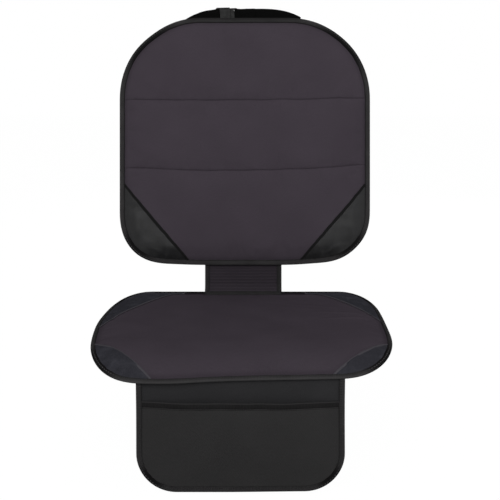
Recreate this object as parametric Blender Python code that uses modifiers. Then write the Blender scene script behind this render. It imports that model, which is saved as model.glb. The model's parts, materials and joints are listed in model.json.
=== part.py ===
"""Car seat protector mat in its in-use shape, metres, +Z up.

A padded seat panel lies flat with its front edge rolled down, a pocket flap hangs under that edge, and a
padded back panel leans back above the rear edge, joined by a fabric connector. A webbing strap with a
side-release buckle closes around a headrest behind the top edge. The origin is on the seat's underside,
in the middle of its flat stretch.
"""
import math
from dataclasses import dataclass

import bmesh
import bpy
from mathutils import Matrix, Vector

# Plan of the two padded panels, with each corner as a quarter ellipse
MAT_WIDTH = 0.475
BACK_HEIGHT = 0.469
BACK_TOP_RADIUS = 0.154
BACK_BOTTOM_RADIUS = 0.102
SEAT_DEPTH = 0.42
SEAT_REAR_REACH = 0.081
SEAT_REAR_RUN = 0.131
SEAT_FRONT_REACH = 0.078
SEAT_FRONT_RUN = 0.146
CORNER_STEPS = 9

# Pose of the panels
RECLINE = math.radians(12.1)
DROOP_ANGLE = math.radians(24)
DROOP_LENGTH = 0.10
DROOP_STEPS = 5
REST_CENTRE = 0.17
CONNECTOR_HEIGHT = 0.050

# Layers, rim and slopes of a padded panel
CLEARANCE = 0.0003
FOAM_CLEARANCE = 0.0007
LINING_THICKNESS = 0.001
FOAM_THICKNESS = 0.008
FABRIC_THICKNESS = 0.0012
RIM_LIFT = 0.0015
SLOPE_WIDTH = 0.010
SLOPE_GAP = 0.001
TAPE_THICKNESS = 0.001
TAPE_LEG = 0.0115
TAPE_TURN = 0.18

# Quilting seams across the back panel, measured up from its bottom edge
SEAM_HEIGHTS = (0.184, 0.314)
SEAM_HALF_WIDTH = 0.006
SEAM_DEPTH = 0.0025

# Leatherette corner patches: legs along the side and along the end of a panel
PATCH_THICKNESS = 0.0008
TRIM_WIDTH = 0.005
TRIM_THICKNESS = 0.0008
BACK_PATCH_LEGS = (0.148, 0.133)
SEAT_FRONT_PATCH_LEGS = (0.114, 0.113)
SEAT_REAR_PATCH_LEGS = (0.225, 0.127)

# Connector between the panels
CONNECTOR_WIDTH = 0.143
CONNECTOR_THICKNESS = 0.0014
CONNECTOR_OVERLAP = 0.022
CONNECTOR_TAPE_LEG = 0.009
HEM_HEIGHT = 0.008

# Pocket flap
FLAP_WIDTH = 0.305
FLAP_HEIGHT = 0.168
FLAP_RADIUS = 0.059
FLAP_THICKNESS = 0.0015
FLAP_LEAN = math.radians(5)
FLAP_TAPE_LEG = 0.0085
FLAP_INSET = 0.0055
POCKET_HEIGHT = 0.134
POCKET_THICKNESS = 0.001
POCKET_BELLY = 0.014
POCKET_MARGIN = 0.0045
POCKET_COLUMNS = 10
POCKET_ROWS = 5
POCKET_HEM_HEIGHT = 0.014

# Headrest strap and buckle
WEBBING_WIDTH = 0.025
WEBBING_THICKNESS = 0.0014
STRAP_END = 0.135
STRAP_SINK = 0.022
STRAP_RISE = 0.0292
STRAP_BOW = 0.040
STRAP_SHOULDER = 3.0
STRAP_STEPS = 9
STRAP_GAP = 0.0012
BUCKLE_START = -0.0555
BUCKLE_DROP = 0.0011
BUCKLE_WIDTH = 0.031
BUCKLE_DEPTH = 0.011
BUCKLE_WALL = 0.0018
BUCKLE_BEVEL = 0.0015
BUCKLE_BAR = 0.003
BUCKLE_SLOT = 0.0035
SOCKET_LENGTH = 0.027
PLUG_LENGTH = 0.014
PLUG_STEP = 0.001
PRONG_WIDTH = 0.005
PRONG_REACH = 0.016
PRONG_DEPTH = 0.005
GUIDE_WIDTH = 0.004
WINDOW_LENGTH = 0.009

# Heights above the rest plane, worked out from the layers
RIM_GRIP_TOP = RIM_LIFT + LINING_THICKNESS
RIM_FABRIC_TOP = RIM_GRIP_TOP + CLEARANCE + FABRIC_THICKNESS
TAPE_BOTTOM = RIM_LIFT - CLEARANCE - TAPE_THICKNESS
TAPE_TOP = RIM_FABRIC_TOP + CLEARANCE + TAPE_THICKNESS
FOAM_BOTTOM = LINING_THICKNESS + CLEARANCE
FABRIC_TOP = FOAM_BOTTOM + FOAM_THICKNESS + FOAM_CLEARANCE + FABRIC_THICKNESS
EDGE_INSET = TAPE_THICKNESS + CLEARANCE
FLANGE_WIDTH = TAPE_LEG + SLOPE_GAP - EDGE_INSET
FOAM_INSET = EDGE_INSET + FLANGE_WIDTH + SLOPE_WIDTH + FOAM_CLEARANCE


@dataclass(frozen=True)
class Plan:
    """Rounded plan of a panel: near is its low-y end, far its high-y end."""

    width: float
    near: float
    far: float
    near_radii: tuple
    far_radii: tuple

    def outline(self, inset):
        """Returns the outline, anticlockwise from the middle of the near end, moved inwards by inset."""
        ends = ((1, self.near, 1, self.near_radii, -90), (1, self.far, -1, self.far_radii, 0),
                (-1, self.far, -1, self.far_radii, 90), (-1, self.near, 1, self.near_radii, 180))
        points = []
        for side, end, inward, (reach, run), start in ends:
            centre_x = side * (self.width / 2 - reach)
            centre_y = end + inward * run
            for step in range(CORNER_STEPS + 1):
                angle = math.radians(start + 90 * step / CORNER_STEPS)
                points.append((centre_x + (reach - inset) * math.cos(angle),
                               centre_y + (run - inset) * math.sin(angle)))
        return points


def clear_scene():
    """Removes the objects that the file opened with."""
    for obj in list(bpy.data.objects):
        bpy.data.objects.remove(obj, do_unlink=True)


def make_collection(name):
    """Makes a collection under the scene's own."""
    collection = bpy.data.collections.new(name)
    bpy.context.scene.collection.children.link(collection)
    return collection


def make_material(name, colour, roughness, metallic=0.0):
    """Makes a plain Principled material."""
    material = bpy.data.materials.new(name)
    material.use_nodes = True
    shader = material.node_tree.nodes["Principled BSDF"]
    shader.inputs["Base Color"].default_value = (*colour, 1.0)
    shader.inputs["Roughness"].default_value = roughness
    shader.inputs["Metallic"].default_value = metallic
    material.diffuse_color = (*colour, 1.0)
    return material


def make_frame(collection, name, location, tilt):
    """Makes an empty that holds one panel's pieces."""
    frame = bpy.data.objects.new(name, None)
    frame.location = location
    frame.rotation_euler = (tilt, 0, 0)
    collection.objects.link(frame)
    return frame


def add_piece(collection, name, bm, material, parent, thickness=0.0, offset=-1.0):
    """Makes a piece from a bmesh, with a Solidify modifier where it is a sheet."""
    if not thickness:
        bmesh.ops.recalc_face_normals(bm, faces=bm.faces)
    mesh = bpy.data.meshes.new(name)
    bm.to_mesh(mesh)
    bm.free()
    obj = bpy.data.objects.new(name, mesh)
    obj.parent = parent
    mesh.materials.append(material)
    collection.objects.link(obj)
    if thickness:
        wall = obj.modifiers.new("wall", "SOLIDIFY")
        wall.thickness = thickness
        wall.offset = offset
        wall.use_even_offset = True
    return obj


def plan_face(outline, height):
    """Starts a bmesh with one face of the given outline, facing up."""
    bm = bmesh.new()
    face = bm.faces.new([bm.verts.new((x, y, height)) for x, y in outline])
    bm.normal_update()
    return bm, face


def cut(bm, point, normal, clear_outer=False):
    """Cuts the mesh by a plane, and drops what lies in front of it if asked."""
    geometry = bm.verts[:] + bm.edges[:] + bm.faces[:]
    bmesh.ops.bisect_plane(bm, geom=geometry, dist=1e-6, plane_co=point, plane_no=normal,
                           clear_outer=clear_outer)


def seat_stations():
    """Returns the distances from the rear edge at which the seat panel bends."""
    start = SEAT_DEPTH - DROOP_LENGTH
    return [start + DROOP_LENGTH * step / DROOP_STEPS for step in range(DROOP_STEPS + 1)]


def seat_profile():
    """Returns the bent centre line as (distance, y, z, normal_y, normal_z) knots."""
    knots = [0.0] + seat_stations()
    slopes = [0.0] + [DROOP_ANGLE * (step + 0.5) / DROOP_STEPS for step in range(DROOP_STEPS)]
    y, z = 0.0, 0.0
    profile = []
    for index, distance in enumerate(knots):
        if index:
            length = distance - knots[index - 1]
            y -= length * math.cos(slopes[index - 1])
            z -= length * math.sin(slopes[index - 1])
        before = slopes[max(index - 1, 0)]
        after = slopes[min(index, len(slopes) - 1)]
        mean = (before + after) / 2
        stretch = 1 / math.cos((after - before) / 2)
        profile.append((distance, y, z, -math.sin(mean) * stretch, math.cos(mean) * stretch))
    return profile


SEAT_PROFILE = seat_profile()


def drape(point):
    """Bends a point of the flat seat panel (x, minus the distance from the rear edge, height)."""
    distance = min(max(-point.y, 0.0), SEAT_DEPTH)
    for low, high in zip(SEAT_PROFILE, SEAT_PROFILE[1:]):
        if distance <= high[0] + 1e-9:
            break
    share = (distance - low[0]) / (high[0] - low[0])
    y, z, normal_y, normal_z = (a + (b - a) * share for a, b in zip(low[1:], high[1:]))
    return Vector((point.x, y + point.z * normal_y, z + point.z * normal_z))


def drape_mesh(bm):
    """Cuts a flat seat piece at each bend and lays it over the profile."""
    for distance in seat_stations()[:-1]:
        cut(bm, (0, -distance, 0), (0, 1, 0))
    for vert in bm.verts:
        vert.co = drape(vert.co)


def sew_seams(bm, near, top):
    """Pulls the quilting seams into a piece of the back panel whose raised middle is at the height top."""
    for height in SEAM_HEIGHTS:
        seam = near + height
        for shift in (-SEAM_HALF_WIDTH, 0.0, SEAM_HALF_WIDTH):
            cut(bm, (0, seam + shift, 0), (0, 1, 0))
        for vert in bm.verts:
            closeness = 1 - abs(vert.co.y - seam) / SEAM_HALF_WIDTH
            if closeness > 0 and vert.co.z > FOAM_BOTTOM + CLEARANCE:
                share = (vert.co.z - RIM_FABRIC_TOP) / (top - RIM_FABRIC_TOP)
                vert.co.z -= SEAM_DEPTH * closeness * max(share, 0.0)


def inset_face(bm, face, width, keep_ring=True):
    """Insets a face evenly, and drops the ring that this makes if asked."""
    ring = bmesh.ops.inset_region(bm, faces=[face], thickness=width, use_even_offset=True, use_boundary=True)
    if not keep_ring:
        bmesh.ops.delete(bm, geom=ring["faces"], context="FACES")


def face_surface(plan):
    """Makes the top surface of the face fabric: flat rim, slope and raised middle."""
    bm, face = plan_face(plan.outline(EDGE_INSET), RIM_FABRIC_TOP)
    inset_face(bm, face, FLANGE_WIDTH)
    inset_face(bm, face, SLOPE_WIDTH)
    for vert in face.verts:
        vert.co.z = FABRIC_TOP
    return bm


def lining_surface(plan):
    """Makes the underside of the lining: raised rim, slope and flat middle."""
    bm, face = plan_face(plan.outline(EDGE_INSET), RIM_LIFT)
    inset_face(bm, face, FLANGE_WIDTH)
    inset_face(bm, face, SLOPE_WIDTH)
    for vert in face.verts:
        vert.co.z = 0.0
    return bm


def foam_slab(plan):
    """Makes the closed foam slab."""
    bm, face = plan_face(plan.outline(EDGE_INSET), FOAM_BOTTOM)
    inset_face(bm, face, FOAM_INSET - EDGE_INSET, keep_ring=False)
    top = bmesh.ops.extrude_face_region(bm, geom=[face])["geom"]
    bmesh.ops.translate(bm, vec=(0, 0, FOAM_THICKNESS),
                        verts=[item for item in top if isinstance(item, bmesh.types.BMVert)])
    return bm


def loft_loops(loops, closed=True):
    """Makes a sheet from rows of points that follow each other."""
    bm = bmesh.new()
    rows = [[bm.verts.new(point) for point in loop] for loop in loops]
    count = len(rows[0])
    for low, high in zip(rows, rows[1:]):
        for index in range(count if closed else count - 1):
            after = (index + 1) % count
            bm.faces.new((low[index], low[after], high[after], high[index]))
    return bm


def tape_section(leg, bottom, top):
    """Returns the folded tape's outer section as (inset, height) pairs, from under leg to top leg."""
    turn = (top - bottom) * TAPE_TURN
    return ((leg, bottom), (turn, bottom), (0.0, bottom + turn), (0.0, top - turn), (turn, top), (leg, top))


def tape_ring(plan):
    """Makes the outside of the folded binding tape all around a padded panel."""
    section = tape_section(TAPE_LEG, TAPE_BOTTOM, TAPE_TOP)
    return loft_loops([[(x, y, height) for x, y in plan.outline(inset)] for inset, height in section])


def patch_surface(plan, lift, side, end, legs, trim_only):
    """Makes the underside of a corner patch, or of the trim along its diagonal edge.

    side is -1 or 1 for left or right, end is the y of the panel's end that the patch lies at.
    """
    bm, face = plan_face(plan.outline(EDGE_INSET), RIM_FABRIC_TOP + lift)
    inset_face(bm, face, FLANGE_WIDTH, keep_ring=False)
    inset_face(bm, face, SLOPE_WIDTH)
    for vert in face.verts:
        vert.co.z = FABRIC_TOP + lift
    inward = 1 if end == plan.near else -1
    along_side, along_end = legs
    edge_point = Vector((side * plan.width / 2, end + inward * along_side, 0))
    end_point = Vector((side * (plan.width / 2 - along_end), end, 0))
    normal = Vector((-side * along_side, inward * along_end, 0)).normalized()
    cut(bm, edge_point, normal, clear_outer=True)
    if trim_only:
        cut(bm, end_point - normal * TRIM_WIDTH, -normal, clear_outer=True)
    return bm


def build_padded(parts, prefix, plan, parent, materials, draped, lining_name):
    """Builds the lining, foam, face fabric and binding of one padded panel."""
    fabric, foam, lining, tape = (face_surface(plan), foam_slab(plan), lining_surface(plan), tape_ring(plan))
    if draped:
        for bm in (fabric, foam, lining, tape):
            drape_mesh(bm)
    else:
        sew_seams(fabric, plan.near, FABRIC_TOP)
        sew_seams(foam, plan.near, FOAM_BOTTOM + FOAM_THICKNESS)
    add_piece(parts, f"{prefix}_face_fabric", fabric, materials["fabric"], parent, FABRIC_THICKNESS)
    add_piece(parts, f"{prefix}_foam", foam, materials["foam"], parent)
    add_piece(parts, lining_name, lining, materials["lining"], parent, LINING_THICKNESS, 1.0)
    add_piece(parts, f"{prefix}_binding", tape, materials["tape"], parent, TAPE_THICKNESS)


def build_patch(parts, plan, parent, materials, draped, name, side, end, legs):
    """Builds one corner patch and the trim along its diagonal edge."""
    patch = patch_surface(plan, CLEARANCE, side, end, legs, False)
    trim_lift = 2 * CLEARANCE + PATCH_THICKNESS
    trim = patch_surface(plan, trim_lift, side, end, legs, True)
    if draped:
        drape_mesh(patch)
        drape_mesh(trim)
    label = "left" if side < 0 else "right"
    add_piece(parts, f"{name}_{label}", patch, materials["leatherette"], parent, PATCH_THICKNESS, 1.0)
    add_piece(parts, f"{name}_trim_{label}", trim, materials["tape"], parent, TRIM_THICKNESS, 1.0)


def box(bm, low, high):
    """Adds a box between two corners to a bmesh."""
    size = Vector(high) - Vector(low)
    made = bmesh.ops.create_cube(bm, size=1.0)["verts"]
    bmesh.ops.scale(bm, vec=size, verts=made)
    bmesh.ops.translate(bm, vec=(Vector(high) + Vector(low)) / 2, verts=made)


def build_connector(parts, parent, materials):
    """Builds the fabric connector with its side bindings and bottom hem, behind the back's lining."""
    front = -2 * CLEARANCE - TAPE_THICKNESS
    rear = front - CONNECTOR_THICKNESS
    half = CONNECTOR_WIDTH / 2
    low = TAPE_THICKNESS + CLEARANCE
    top = CONNECTOR_HEIGHT + CONNECTOR_OVERLAP
    panel = bmesh.new()
    box(panel, (-half + EDGE_INSET, low, rear), (half - EDGE_INSET, top, front))
    add_piece(parts, "connector_panel", panel, materials["connector"], parent)
    outer_front = front + CLEARANCE + TAPE_THICKNESS
    outer_rear = rear - CLEARANCE - TAPE_THICKNESS
    section = tape_section(CONNECTOR_TAPE_LEG, outer_rear, outer_front)
    for side, label in ((-1, "left"), (1, "right")):
        ends = (HEM_HEIGHT + CLEARANCE, top) if side < 0 else (top, HEM_HEIGHT + CLEARANCE)
        tape = loft_loops([[(side * (half - inset), y, height) for y in ends] for inset, height in section],
                          closed=False)
        bmesh.ops.reverse_faces(tape, faces=tape.faces)
        add_piece(parts, f"connector_binding_{label}", tape, materials["tape"], parent, TAPE_THICKNESS)
    section = tape_section(HEM_HEIGHT, outer_rear, outer_front)
    hem = loft_loops([[(x, inset, height) for x in (-half, half)] for inset, height in section], closed=False)
    add_piece(parts, "connector_hem", hem, materials["tape"], parent, TAPE_THICKNESS)
    return outer_rear


def flap_path(inset):
    """Returns the open path down the flap's left side, along its bottom and up its right side."""
    plan = Plan(FLAP_WIDTH, -FLAP_HEIGHT, 0.0, (FLAP_RADIUS, FLAP_RADIUS), (FLAP_RADIUS, FLAP_RADIUS))
    points = plan.outline(inset)
    corner = CORNER_STEPS + 1
    left = points[3 * corner:]
    right = points[:corner]
    top_left = (-FLAP_WIDTH / 2 + inset, 0.0)
    top_right = (FLAP_WIDTH / 2 - inset, 0.0)
    return [top_left] + left + right + [top_right]


def pocket_floor(x):
    """Returns the height at which the pocket's cloth leaves the binding, at a place along the width."""
    radius = FLAP_RADIUS - FLAP_TAPE_LEG - POCKET_MARGIN
    past = max(abs(x) - (FLAP_WIDTH / 2 - FLAP_RADIUS), 0.0)
    return -FLAP_HEIGHT + FLAP_RADIUS - math.sqrt(max(radius ** 2 - past ** 2, 0.0))


def belly(x, y):
    """Returns how far the pocket's cloth stands off the flap at a point."""
    half = FLAP_WIDTH / 2 - FLAP_TAPE_LEG - CLEARANCE
    mouth = -FLAP_HEIGHT + POCKET_HEIGHT
    across = max(1 - (abs(x) / half) ** 2.5, 0.0)
    up = min(max((y - pocket_floor(x)) / (mouth - pocket_floor(x)), 0.0), 1.0)
    return POCKET_BELLY * across * math.sin(up * math.pi / 2) ** 1.2


def pocket_surface(low, base, trimmed):
    """Makes the inner face of the pocket's cloth, or of the tape on its mouth."""
    mouth = -FLAP_HEIGHT + POCKET_HEIGHT
    inset = FLAP_TAPE_LEG + CLEARANCE if trimmed else EDGE_INSET
    bm, _ = plan_face(flap_path(inset), 0.0)
    cut(bm, (0, mouth, 0), (0, 1, 0), clear_outer=True)
    cut(bm, (0, low, 0), (0, -1, 0), clear_outer=True)
    half = FLAP_WIDTH / 2 - FLAP_TAPE_LEG - CLEARANCE
    floor = pocket_floor(0.0)
    for column in range(POCKET_COLUMNS + 1):
        cut(bm, (half * math.sin(math.pi * (column / POCKET_COLUMNS - 0.5)), 0, 0), (1, 0, 0))
    for row in range(POCKET_ROWS):
        cut(bm, (0, floor + (mouth - floor) * row / POCKET_ROWS, 0), (0, 1, 0))
    for vert in bm.verts:
        vert.co.z = base + belly(vert.co.x, vert.co.y)
    return bm


def build_flap(parts, parent, materials):
    """Builds the hanging flap, its pocket, the mouth's hem tape and the binding on three sides."""
    panel, _ = plan_face(flap_path(EDGE_INSET), FLAP_THICKNESS)
    add_piece(parts, "flap_panel", panel, materials["flap"], parent, FLAP_THICKNESS)
    pocket_base = FLAP_THICKNESS + CLEARANCE
    mouth = -FLAP_HEIGHT + POCKET_HEIGHT
    pocket = pocket_surface(-FLAP_HEIGHT, pocket_base, False)
    add_piece(parts, "flap_pocket", pocket, materials["pocket"], parent, POCKET_THICKNESS, 1.0)
    hem_base = pocket_base + POCKET_THICKNESS + CLEARANCE
    hem = pocket_surface(mouth - POCKET_HEM_HEIGHT, hem_base, True)
    add_piece(parts, "pocket_hem", hem, materials["tape"], parent, TAPE_THICKNESS, 1.0)
    top = pocket_base + POCKET_THICKNESS + CLEARANCE + TAPE_THICKNESS
    section = tape_section(FLAP_TAPE_LEG, -CLEARANCE - TAPE_THICKNESS, top)
    tape = loft_loops([[(x, y, height) for x, y in flap_path(inset)] for inset, height in section],
                      closed=False)
    add_piece(parts, "flap_binding", tape, materials["tape"], parent, TAPE_THICKNESS)


def strap_point(x, across, top):
    """Returns a point on the webbing's front face.

    x is the place along the panel's width, across runs from 0 at the lower edge to 1 at the upper.
    """
    share = min(abs(x) / STRAP_END, 1.0)
    upper = top - STRAP_SINK + (STRAP_SINK + STRAP_RISE) * (1 - share ** STRAP_SHOULDER)
    bow = STRAP_BOW * (1 - share ** 2) ** 1.5
    return Vector((x, upper - WEBBING_WIDTH * (1 - across), -CLEARANCE - bow))


def buckle_stop(top, length):
    """Returns the place along the width where a buckle of the given length ends."""
    start = strap_point(BUCKLE_START, 0.5, top)
    low, high = BUCKLE_START, BUCKLE_START + length
    for _ in range(40):
        middle = (low + high) / 2
        if (strap_point(middle, 0.5, top) - start).length < length:
            low = middle
        else:
            high = middle
    return high


def cut_away(obj, cutters, name, low, high):
    """Cuts a box out of a piece with an exact Boolean."""
    bm = bmesh.new()
    box(bm, low, high)
    cutter = add_piece(cutters, name, bm, obj.data.materials[0], obj.parent)
    cutter.hide_render = True
    cutter.display_type = "WIRE"
    boolean = obj.modifiers.new(name, "BOOLEAN")
    boolean.operation = "DIFFERENCE"
    boolean.solver = "EXACT"
    boolean.object = cutter


def bevelled_box(parts, name, low, high, material, parent):
    """Makes a box with rounded edges."""
    bm = bmesh.new()
    box(bm, low, high)
    obj = add_piece(parts, name, bm, material, parent)
    bevel = obj.modifiers.new("rounding", "BEVEL")
    bevel.width = BUCKLE_BEVEL
    bevel.segments = 2
    return obj


def build_buckle(parts, cutters, parent, materials):
    """Builds the socket and the plug, along x from the socket's webbing end."""
    half = BUCKLE_WIDTH / 2
    deep = BUCKLE_DEPTH / 2
    socket = bevelled_box(parts, "buckle_socket", (0, -half, -deep), (SOCKET_LENGTH, half, deep),
                          materials["buckle"], parent)
    inner = half - BUCKLE_WALL
    shallow = deep - BUCKLE_WALL
    cavity_start = BUCKLE_BAR + BUCKLE_SLOT + BUCKLE_WALL
    past = SOCKET_LENGTH + BUCKLE_WALL
    cut_away(socket, cutters, "socket_cavity", (cavity_start, -inner, -shallow), (past, inner, shallow))
    window_stop = SOCKET_LENGTH - PRONG_REACH + WINDOW_LENGTH
    cut_away(socket, cutters, "socket_windows", (window_stop - WINDOW_LENGTH, -half - BUCKLE_WALL, -shallow),
             (window_stop, half + BUCKLE_WALL, shallow))
    cut_away(socket, cutters, "socket_slot", (BUCKLE_BAR, -inner, -deep - BUCKLE_WALL),
             (BUCKLE_BAR + BUCKLE_SLOT, inner, deep + BUCKLE_WALL))

    start = SOCKET_LENGTH + CLEARANCE
    stop = start + PLUG_LENGTH
    wide = half - PLUG_STEP
    plug = bevelled_box(parts, "buckle_plug", (start, -wide, -shallow), (stop, wide, shallow),
                        materials["buckle"], parent)
    root = start + BUCKLE_WALL
    runs = ((inner - PRONG_WIDTH / 2 - PLUG_STEP, PRONG_WIDTH), (-inner + PRONG_WIDTH / 2 + PLUG_STEP, PRONG_WIDTH),
            (0.0, GUIDE_WIDTH))
    for index, (centre, width) in enumerate(runs):
        bm = bmesh.new()
        box(bm, (SOCKET_LENGTH - PRONG_REACH, centre - width / 2, -PRONG_DEPTH / 2),
            (root, centre + width / 2, PRONG_DEPTH / 2))
        prong = add_piece(cutters, f"plug_prong_{index}", bm, materials["buckle"], parent)
        prong.hide_render = True
        prong.display_type = "WIRE"
        union = plug.modifiers.new("prong", "BOOLEAN")
        union.operation = "UNION"
        union.solver = "EXACT"
        union.object = prong
    slot_stop = stop - BUCKLE_BAR
    cut_away(plug, cutters, "plug_slot", (slot_stop - BUCKLE_SLOT, -inner + PLUG_STEP, -BUCKLE_DEPTH),
             (slot_stop, inner - PLUG_STEP, BUCKLE_DEPTH))


def build_strap(parts, cutters, parent, materials, top):
    """Builds the two lengths of webbing and the side-release buckle that joins them."""
    length = SOCKET_LENGTH + CLEARANCE + PLUG_LENGTH
    stop = buckle_stop(top, length)
    start_point, stop_point = strap_point(BUCKLE_START, 0.5, top), strap_point(stop, 0.5, top)
    along = (stop_point - start_point).normalized()
    out = along.cross(Vector((0, 1, 0))).normalized()
    up = out.cross(along)
    centre = start_point - out * WEBBING_THICKNESS / 2 - up * BUCKLE_DROP
    frame = make_frame(parts, "buckle_frame", (0, 0, 0), 0)
    frame.parent = parent
    frame.matrix_basis = Matrix.Translation(centre) @ Matrix((along, up, out)).transposed().to_4x4()
    build_buckle(parts, cutters, frame, materials)
    for name, low, high in (("strap_left", -STRAP_END, BUCKLE_START - STRAP_GAP),
                            ("strap_right", stop + STRAP_GAP, STRAP_END)):
        stations = [low + (high - low) * step / STRAP_STEPS for step in range(STRAP_STEPS + 1)]
        rows = [[strap_point(x, across, top) for x in stations] for across in (0.0, 1.0)]
        webbing = loft_loops(rows, closed=False)
        add_piece(parts, name, webbing, materials["webbing"], parent, WEBBING_THICKNESS)


def build():
    """Builds the whole mat."""
    clear_scene()
    parts = make_collection("car_seat_protector_mat")
    cutters = make_collection("cutters")
    materials = {
        "fabric": make_material("padded_fabric", (0.052, 0.045, 0.053), 0.85),
        "foam": make_material("foam", (0.55, 0.53, 0.48), 0.95),
        "lining": make_material("grip_lining", (0.02, 0.02, 0.021), 0.8),
        "tape": make_material("binding_tape", (0.022, 0.022, 0.023), 0.7),
        "leatherette": make_material("leatherette", (0.026, 0.026, 0.028), 0.4),
        "connector": make_material("connector_fabric", (0.022, 0.019, 0.023), 0.85),
        "flap": make_material("flap_fabric", (0.022, 0.022, 0.023), 0.7),
        "pocket": make_material("pocket_fabric", (0.024, 0.024, 0.025), 0.75),
        "webbing": make_material("webbing", (0.009, 0.009, 0.009), 0.75),
        "buckle": make_material("buckle_plastic", (0.04, 0.04, 0.042), 0.45),
    }

    seat_frame = make_frame(parts, "seat_frame", (0, REST_CENTRE, 0), 0)
    seat = Plan(MAT_WIDTH, -SEAT_DEPTH, 0.0, (SEAT_FRONT_REACH, SEAT_FRONT_RUN),
                (SEAT_REAR_REACH, SEAT_REAR_RUN))
    build_padded(parts, "seat", seat, seat_frame, materials, True, "seat_grip_backing")
    for side in (-1, 1):
        build_patch(parts, seat, seat_frame, materials, True, "seat_front_patch", side, seat.near,
                    SEAT_FRONT_PATCH_LEGS)
        build_patch(parts, seat, seat_frame, materials, True, "seat_rear_patch", side, seat.far,
                    SEAT_REAR_PATCH_LEGS)

    hem_reach = 3 * (CLEARANCE + TAPE_THICKNESS) + CONNECTOR_THICKNESS
    crease = (0, REST_CENTRE - TAPE_LEG / 2, TAPE_TOP + CLEARANCE + hem_reach * math.sin(RECLINE))
    back_frame = make_frame(parts, "back_frame", crease, math.pi / 2 - RECLINE)
    back = Plan(MAT_WIDTH, CONNECTOR_HEIGHT, CONNECTOR_HEIGHT + BACK_HEIGHT,
                (BACK_BOTTOM_RADIUS, BACK_BOTTOM_RADIUS), (BACK_TOP_RADIUS, BACK_TOP_RADIUS))
    build_padded(parts, "back", back, back_frame, materials, False, "back_lining")
    for side in (-1, 1):
        build_patch(parts, back, back_frame, materials, False, "back_patch", side, back.near, BACK_PATCH_LEGS)
    build_connector(parts, back_frame, materials)
    build_strap(parts, cutters, back_frame, materials, back.far)

    edge = drape(Vector((0, FLAP_INSET - SEAT_DEPTH, TAPE_BOTTOM)))
    flap_front = FLAP_THICKNESS + POCKET_THICKNESS + 2 * CLEARANCE + TAPE_THICKNESS
    hang = (0, REST_CENTRE + edge.y, edge.z - 2 * CLEARANCE - flap_front * math.tan(DROOP_ANGLE + FLAP_LEAN))
    flap_frame = make_frame(parts, "flap_frame", hang, math.pi / 2 - FLAP_LEAN)
    build_flap(parts, flap_frame, materials)


build()
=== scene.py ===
"""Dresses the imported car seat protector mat: padded panels, sewn edges, connector, pocket flap and strap.

The mat stands as it does in use. The seat panel lies flat and rolls down at its front edge, the pocket
flap hangs under that edge, the back panel leans back above the rear edge, and a webbing strap with a
side-release buckle closes behind the top. Lengths are in metres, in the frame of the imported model.
"""

import json
import logging
import math
from contextlib import contextmanager
from dataclasses import dataclass, field
from enum import Enum
from functools import cache
from typing import Callable, Iterable, Iterator, Optional, Sequence, Union

import bmesh
import bpy
import numpy as np
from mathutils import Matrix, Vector

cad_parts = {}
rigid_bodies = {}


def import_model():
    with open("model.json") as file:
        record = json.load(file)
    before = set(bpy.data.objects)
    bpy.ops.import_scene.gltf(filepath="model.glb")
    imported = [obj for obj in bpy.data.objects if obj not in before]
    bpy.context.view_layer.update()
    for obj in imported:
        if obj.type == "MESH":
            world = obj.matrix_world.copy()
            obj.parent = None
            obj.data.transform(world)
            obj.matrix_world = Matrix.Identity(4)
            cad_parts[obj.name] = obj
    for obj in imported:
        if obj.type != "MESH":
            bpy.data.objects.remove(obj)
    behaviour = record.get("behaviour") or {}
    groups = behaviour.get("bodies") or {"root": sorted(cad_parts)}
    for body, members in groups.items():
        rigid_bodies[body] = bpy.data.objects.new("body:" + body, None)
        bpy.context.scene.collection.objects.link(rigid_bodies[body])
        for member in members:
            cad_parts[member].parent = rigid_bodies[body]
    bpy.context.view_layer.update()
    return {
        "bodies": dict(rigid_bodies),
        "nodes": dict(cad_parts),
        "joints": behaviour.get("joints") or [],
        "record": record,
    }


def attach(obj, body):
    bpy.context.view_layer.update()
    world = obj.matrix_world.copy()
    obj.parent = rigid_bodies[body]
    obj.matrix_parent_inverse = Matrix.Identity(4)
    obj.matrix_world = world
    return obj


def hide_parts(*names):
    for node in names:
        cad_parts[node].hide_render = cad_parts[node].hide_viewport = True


LOG = logging.getLogger("mat")
BODY = "root"
CLOTH_MAP, RIM, SEAM, GATHER, SHADOW = "cloth", "rim", "seam", "gather", "shadow"

Array = np.ndarray
Colour = tuple[float, float, float, float]
Pair = tuple[float, float]

MAT_WIDTH = 0.475
HALF_MAT = MAT_WIDTH / 2
SEAT_DEPTH = 0.42
BACK_TOP = 0.519
BACK_TILT = math.radians(90 - 12.1)
BACK_FOOT = (0.0, 0.16425, 0.006711)
EDGE_INSET = 0.0013
MERGE = 1e-6


class Side(Enum):
    """The side of the mat that a piece lies on, seen from the front."""

    LEFT = -1
    RIGHT = 1

    @property
    def label(self) -> str:
        """Returns the side's word for a piece's name."""
        return self.name.lower()


# Numbers and fields


def smooth_step(low: float, high: float, value: Array) -> Array:
    """Rises smoothly from 0 at low to 1 at high.

    Args:
        low: value where the rise starts.
        high: value where the rise ends.
        value: the values to shape.

    Returns:
        The share of the rise at each value.
    """
    share = np.clip((value - low) / (high - low), 0.0, 1.0)
    return share * share * (3 - 2 * share)


def drift(x: Array, y: Array, wavelength: float, seed: int, waves: int = 7) -> Array:
    """Makes a soft irregular field from a few crossing waves.

    Args:
        x: places along the first direction.
        y: places along the second direction.
        wavelength: typical distance between two crests.
        seed: number that fixes the directions and phases.
        waves: how many waves are added up.

    Returns:
        The field, mostly between -1 and 1.
    """
    rng = np.random.default_rng(seed)
    total = np.zeros_like(x + y)
    for _ in range(waves):
        angle, phase = rng.uniform(0, 2 * math.pi, 2)
        rate = 2 * math.pi / (wavelength * rng.uniform(0.7, 1.5))
        total = total + np.sin(rate * (x * math.cos(angle) + y * math.sin(angle)) + phase)
    return total / math.sqrt(2 * waves)


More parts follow.
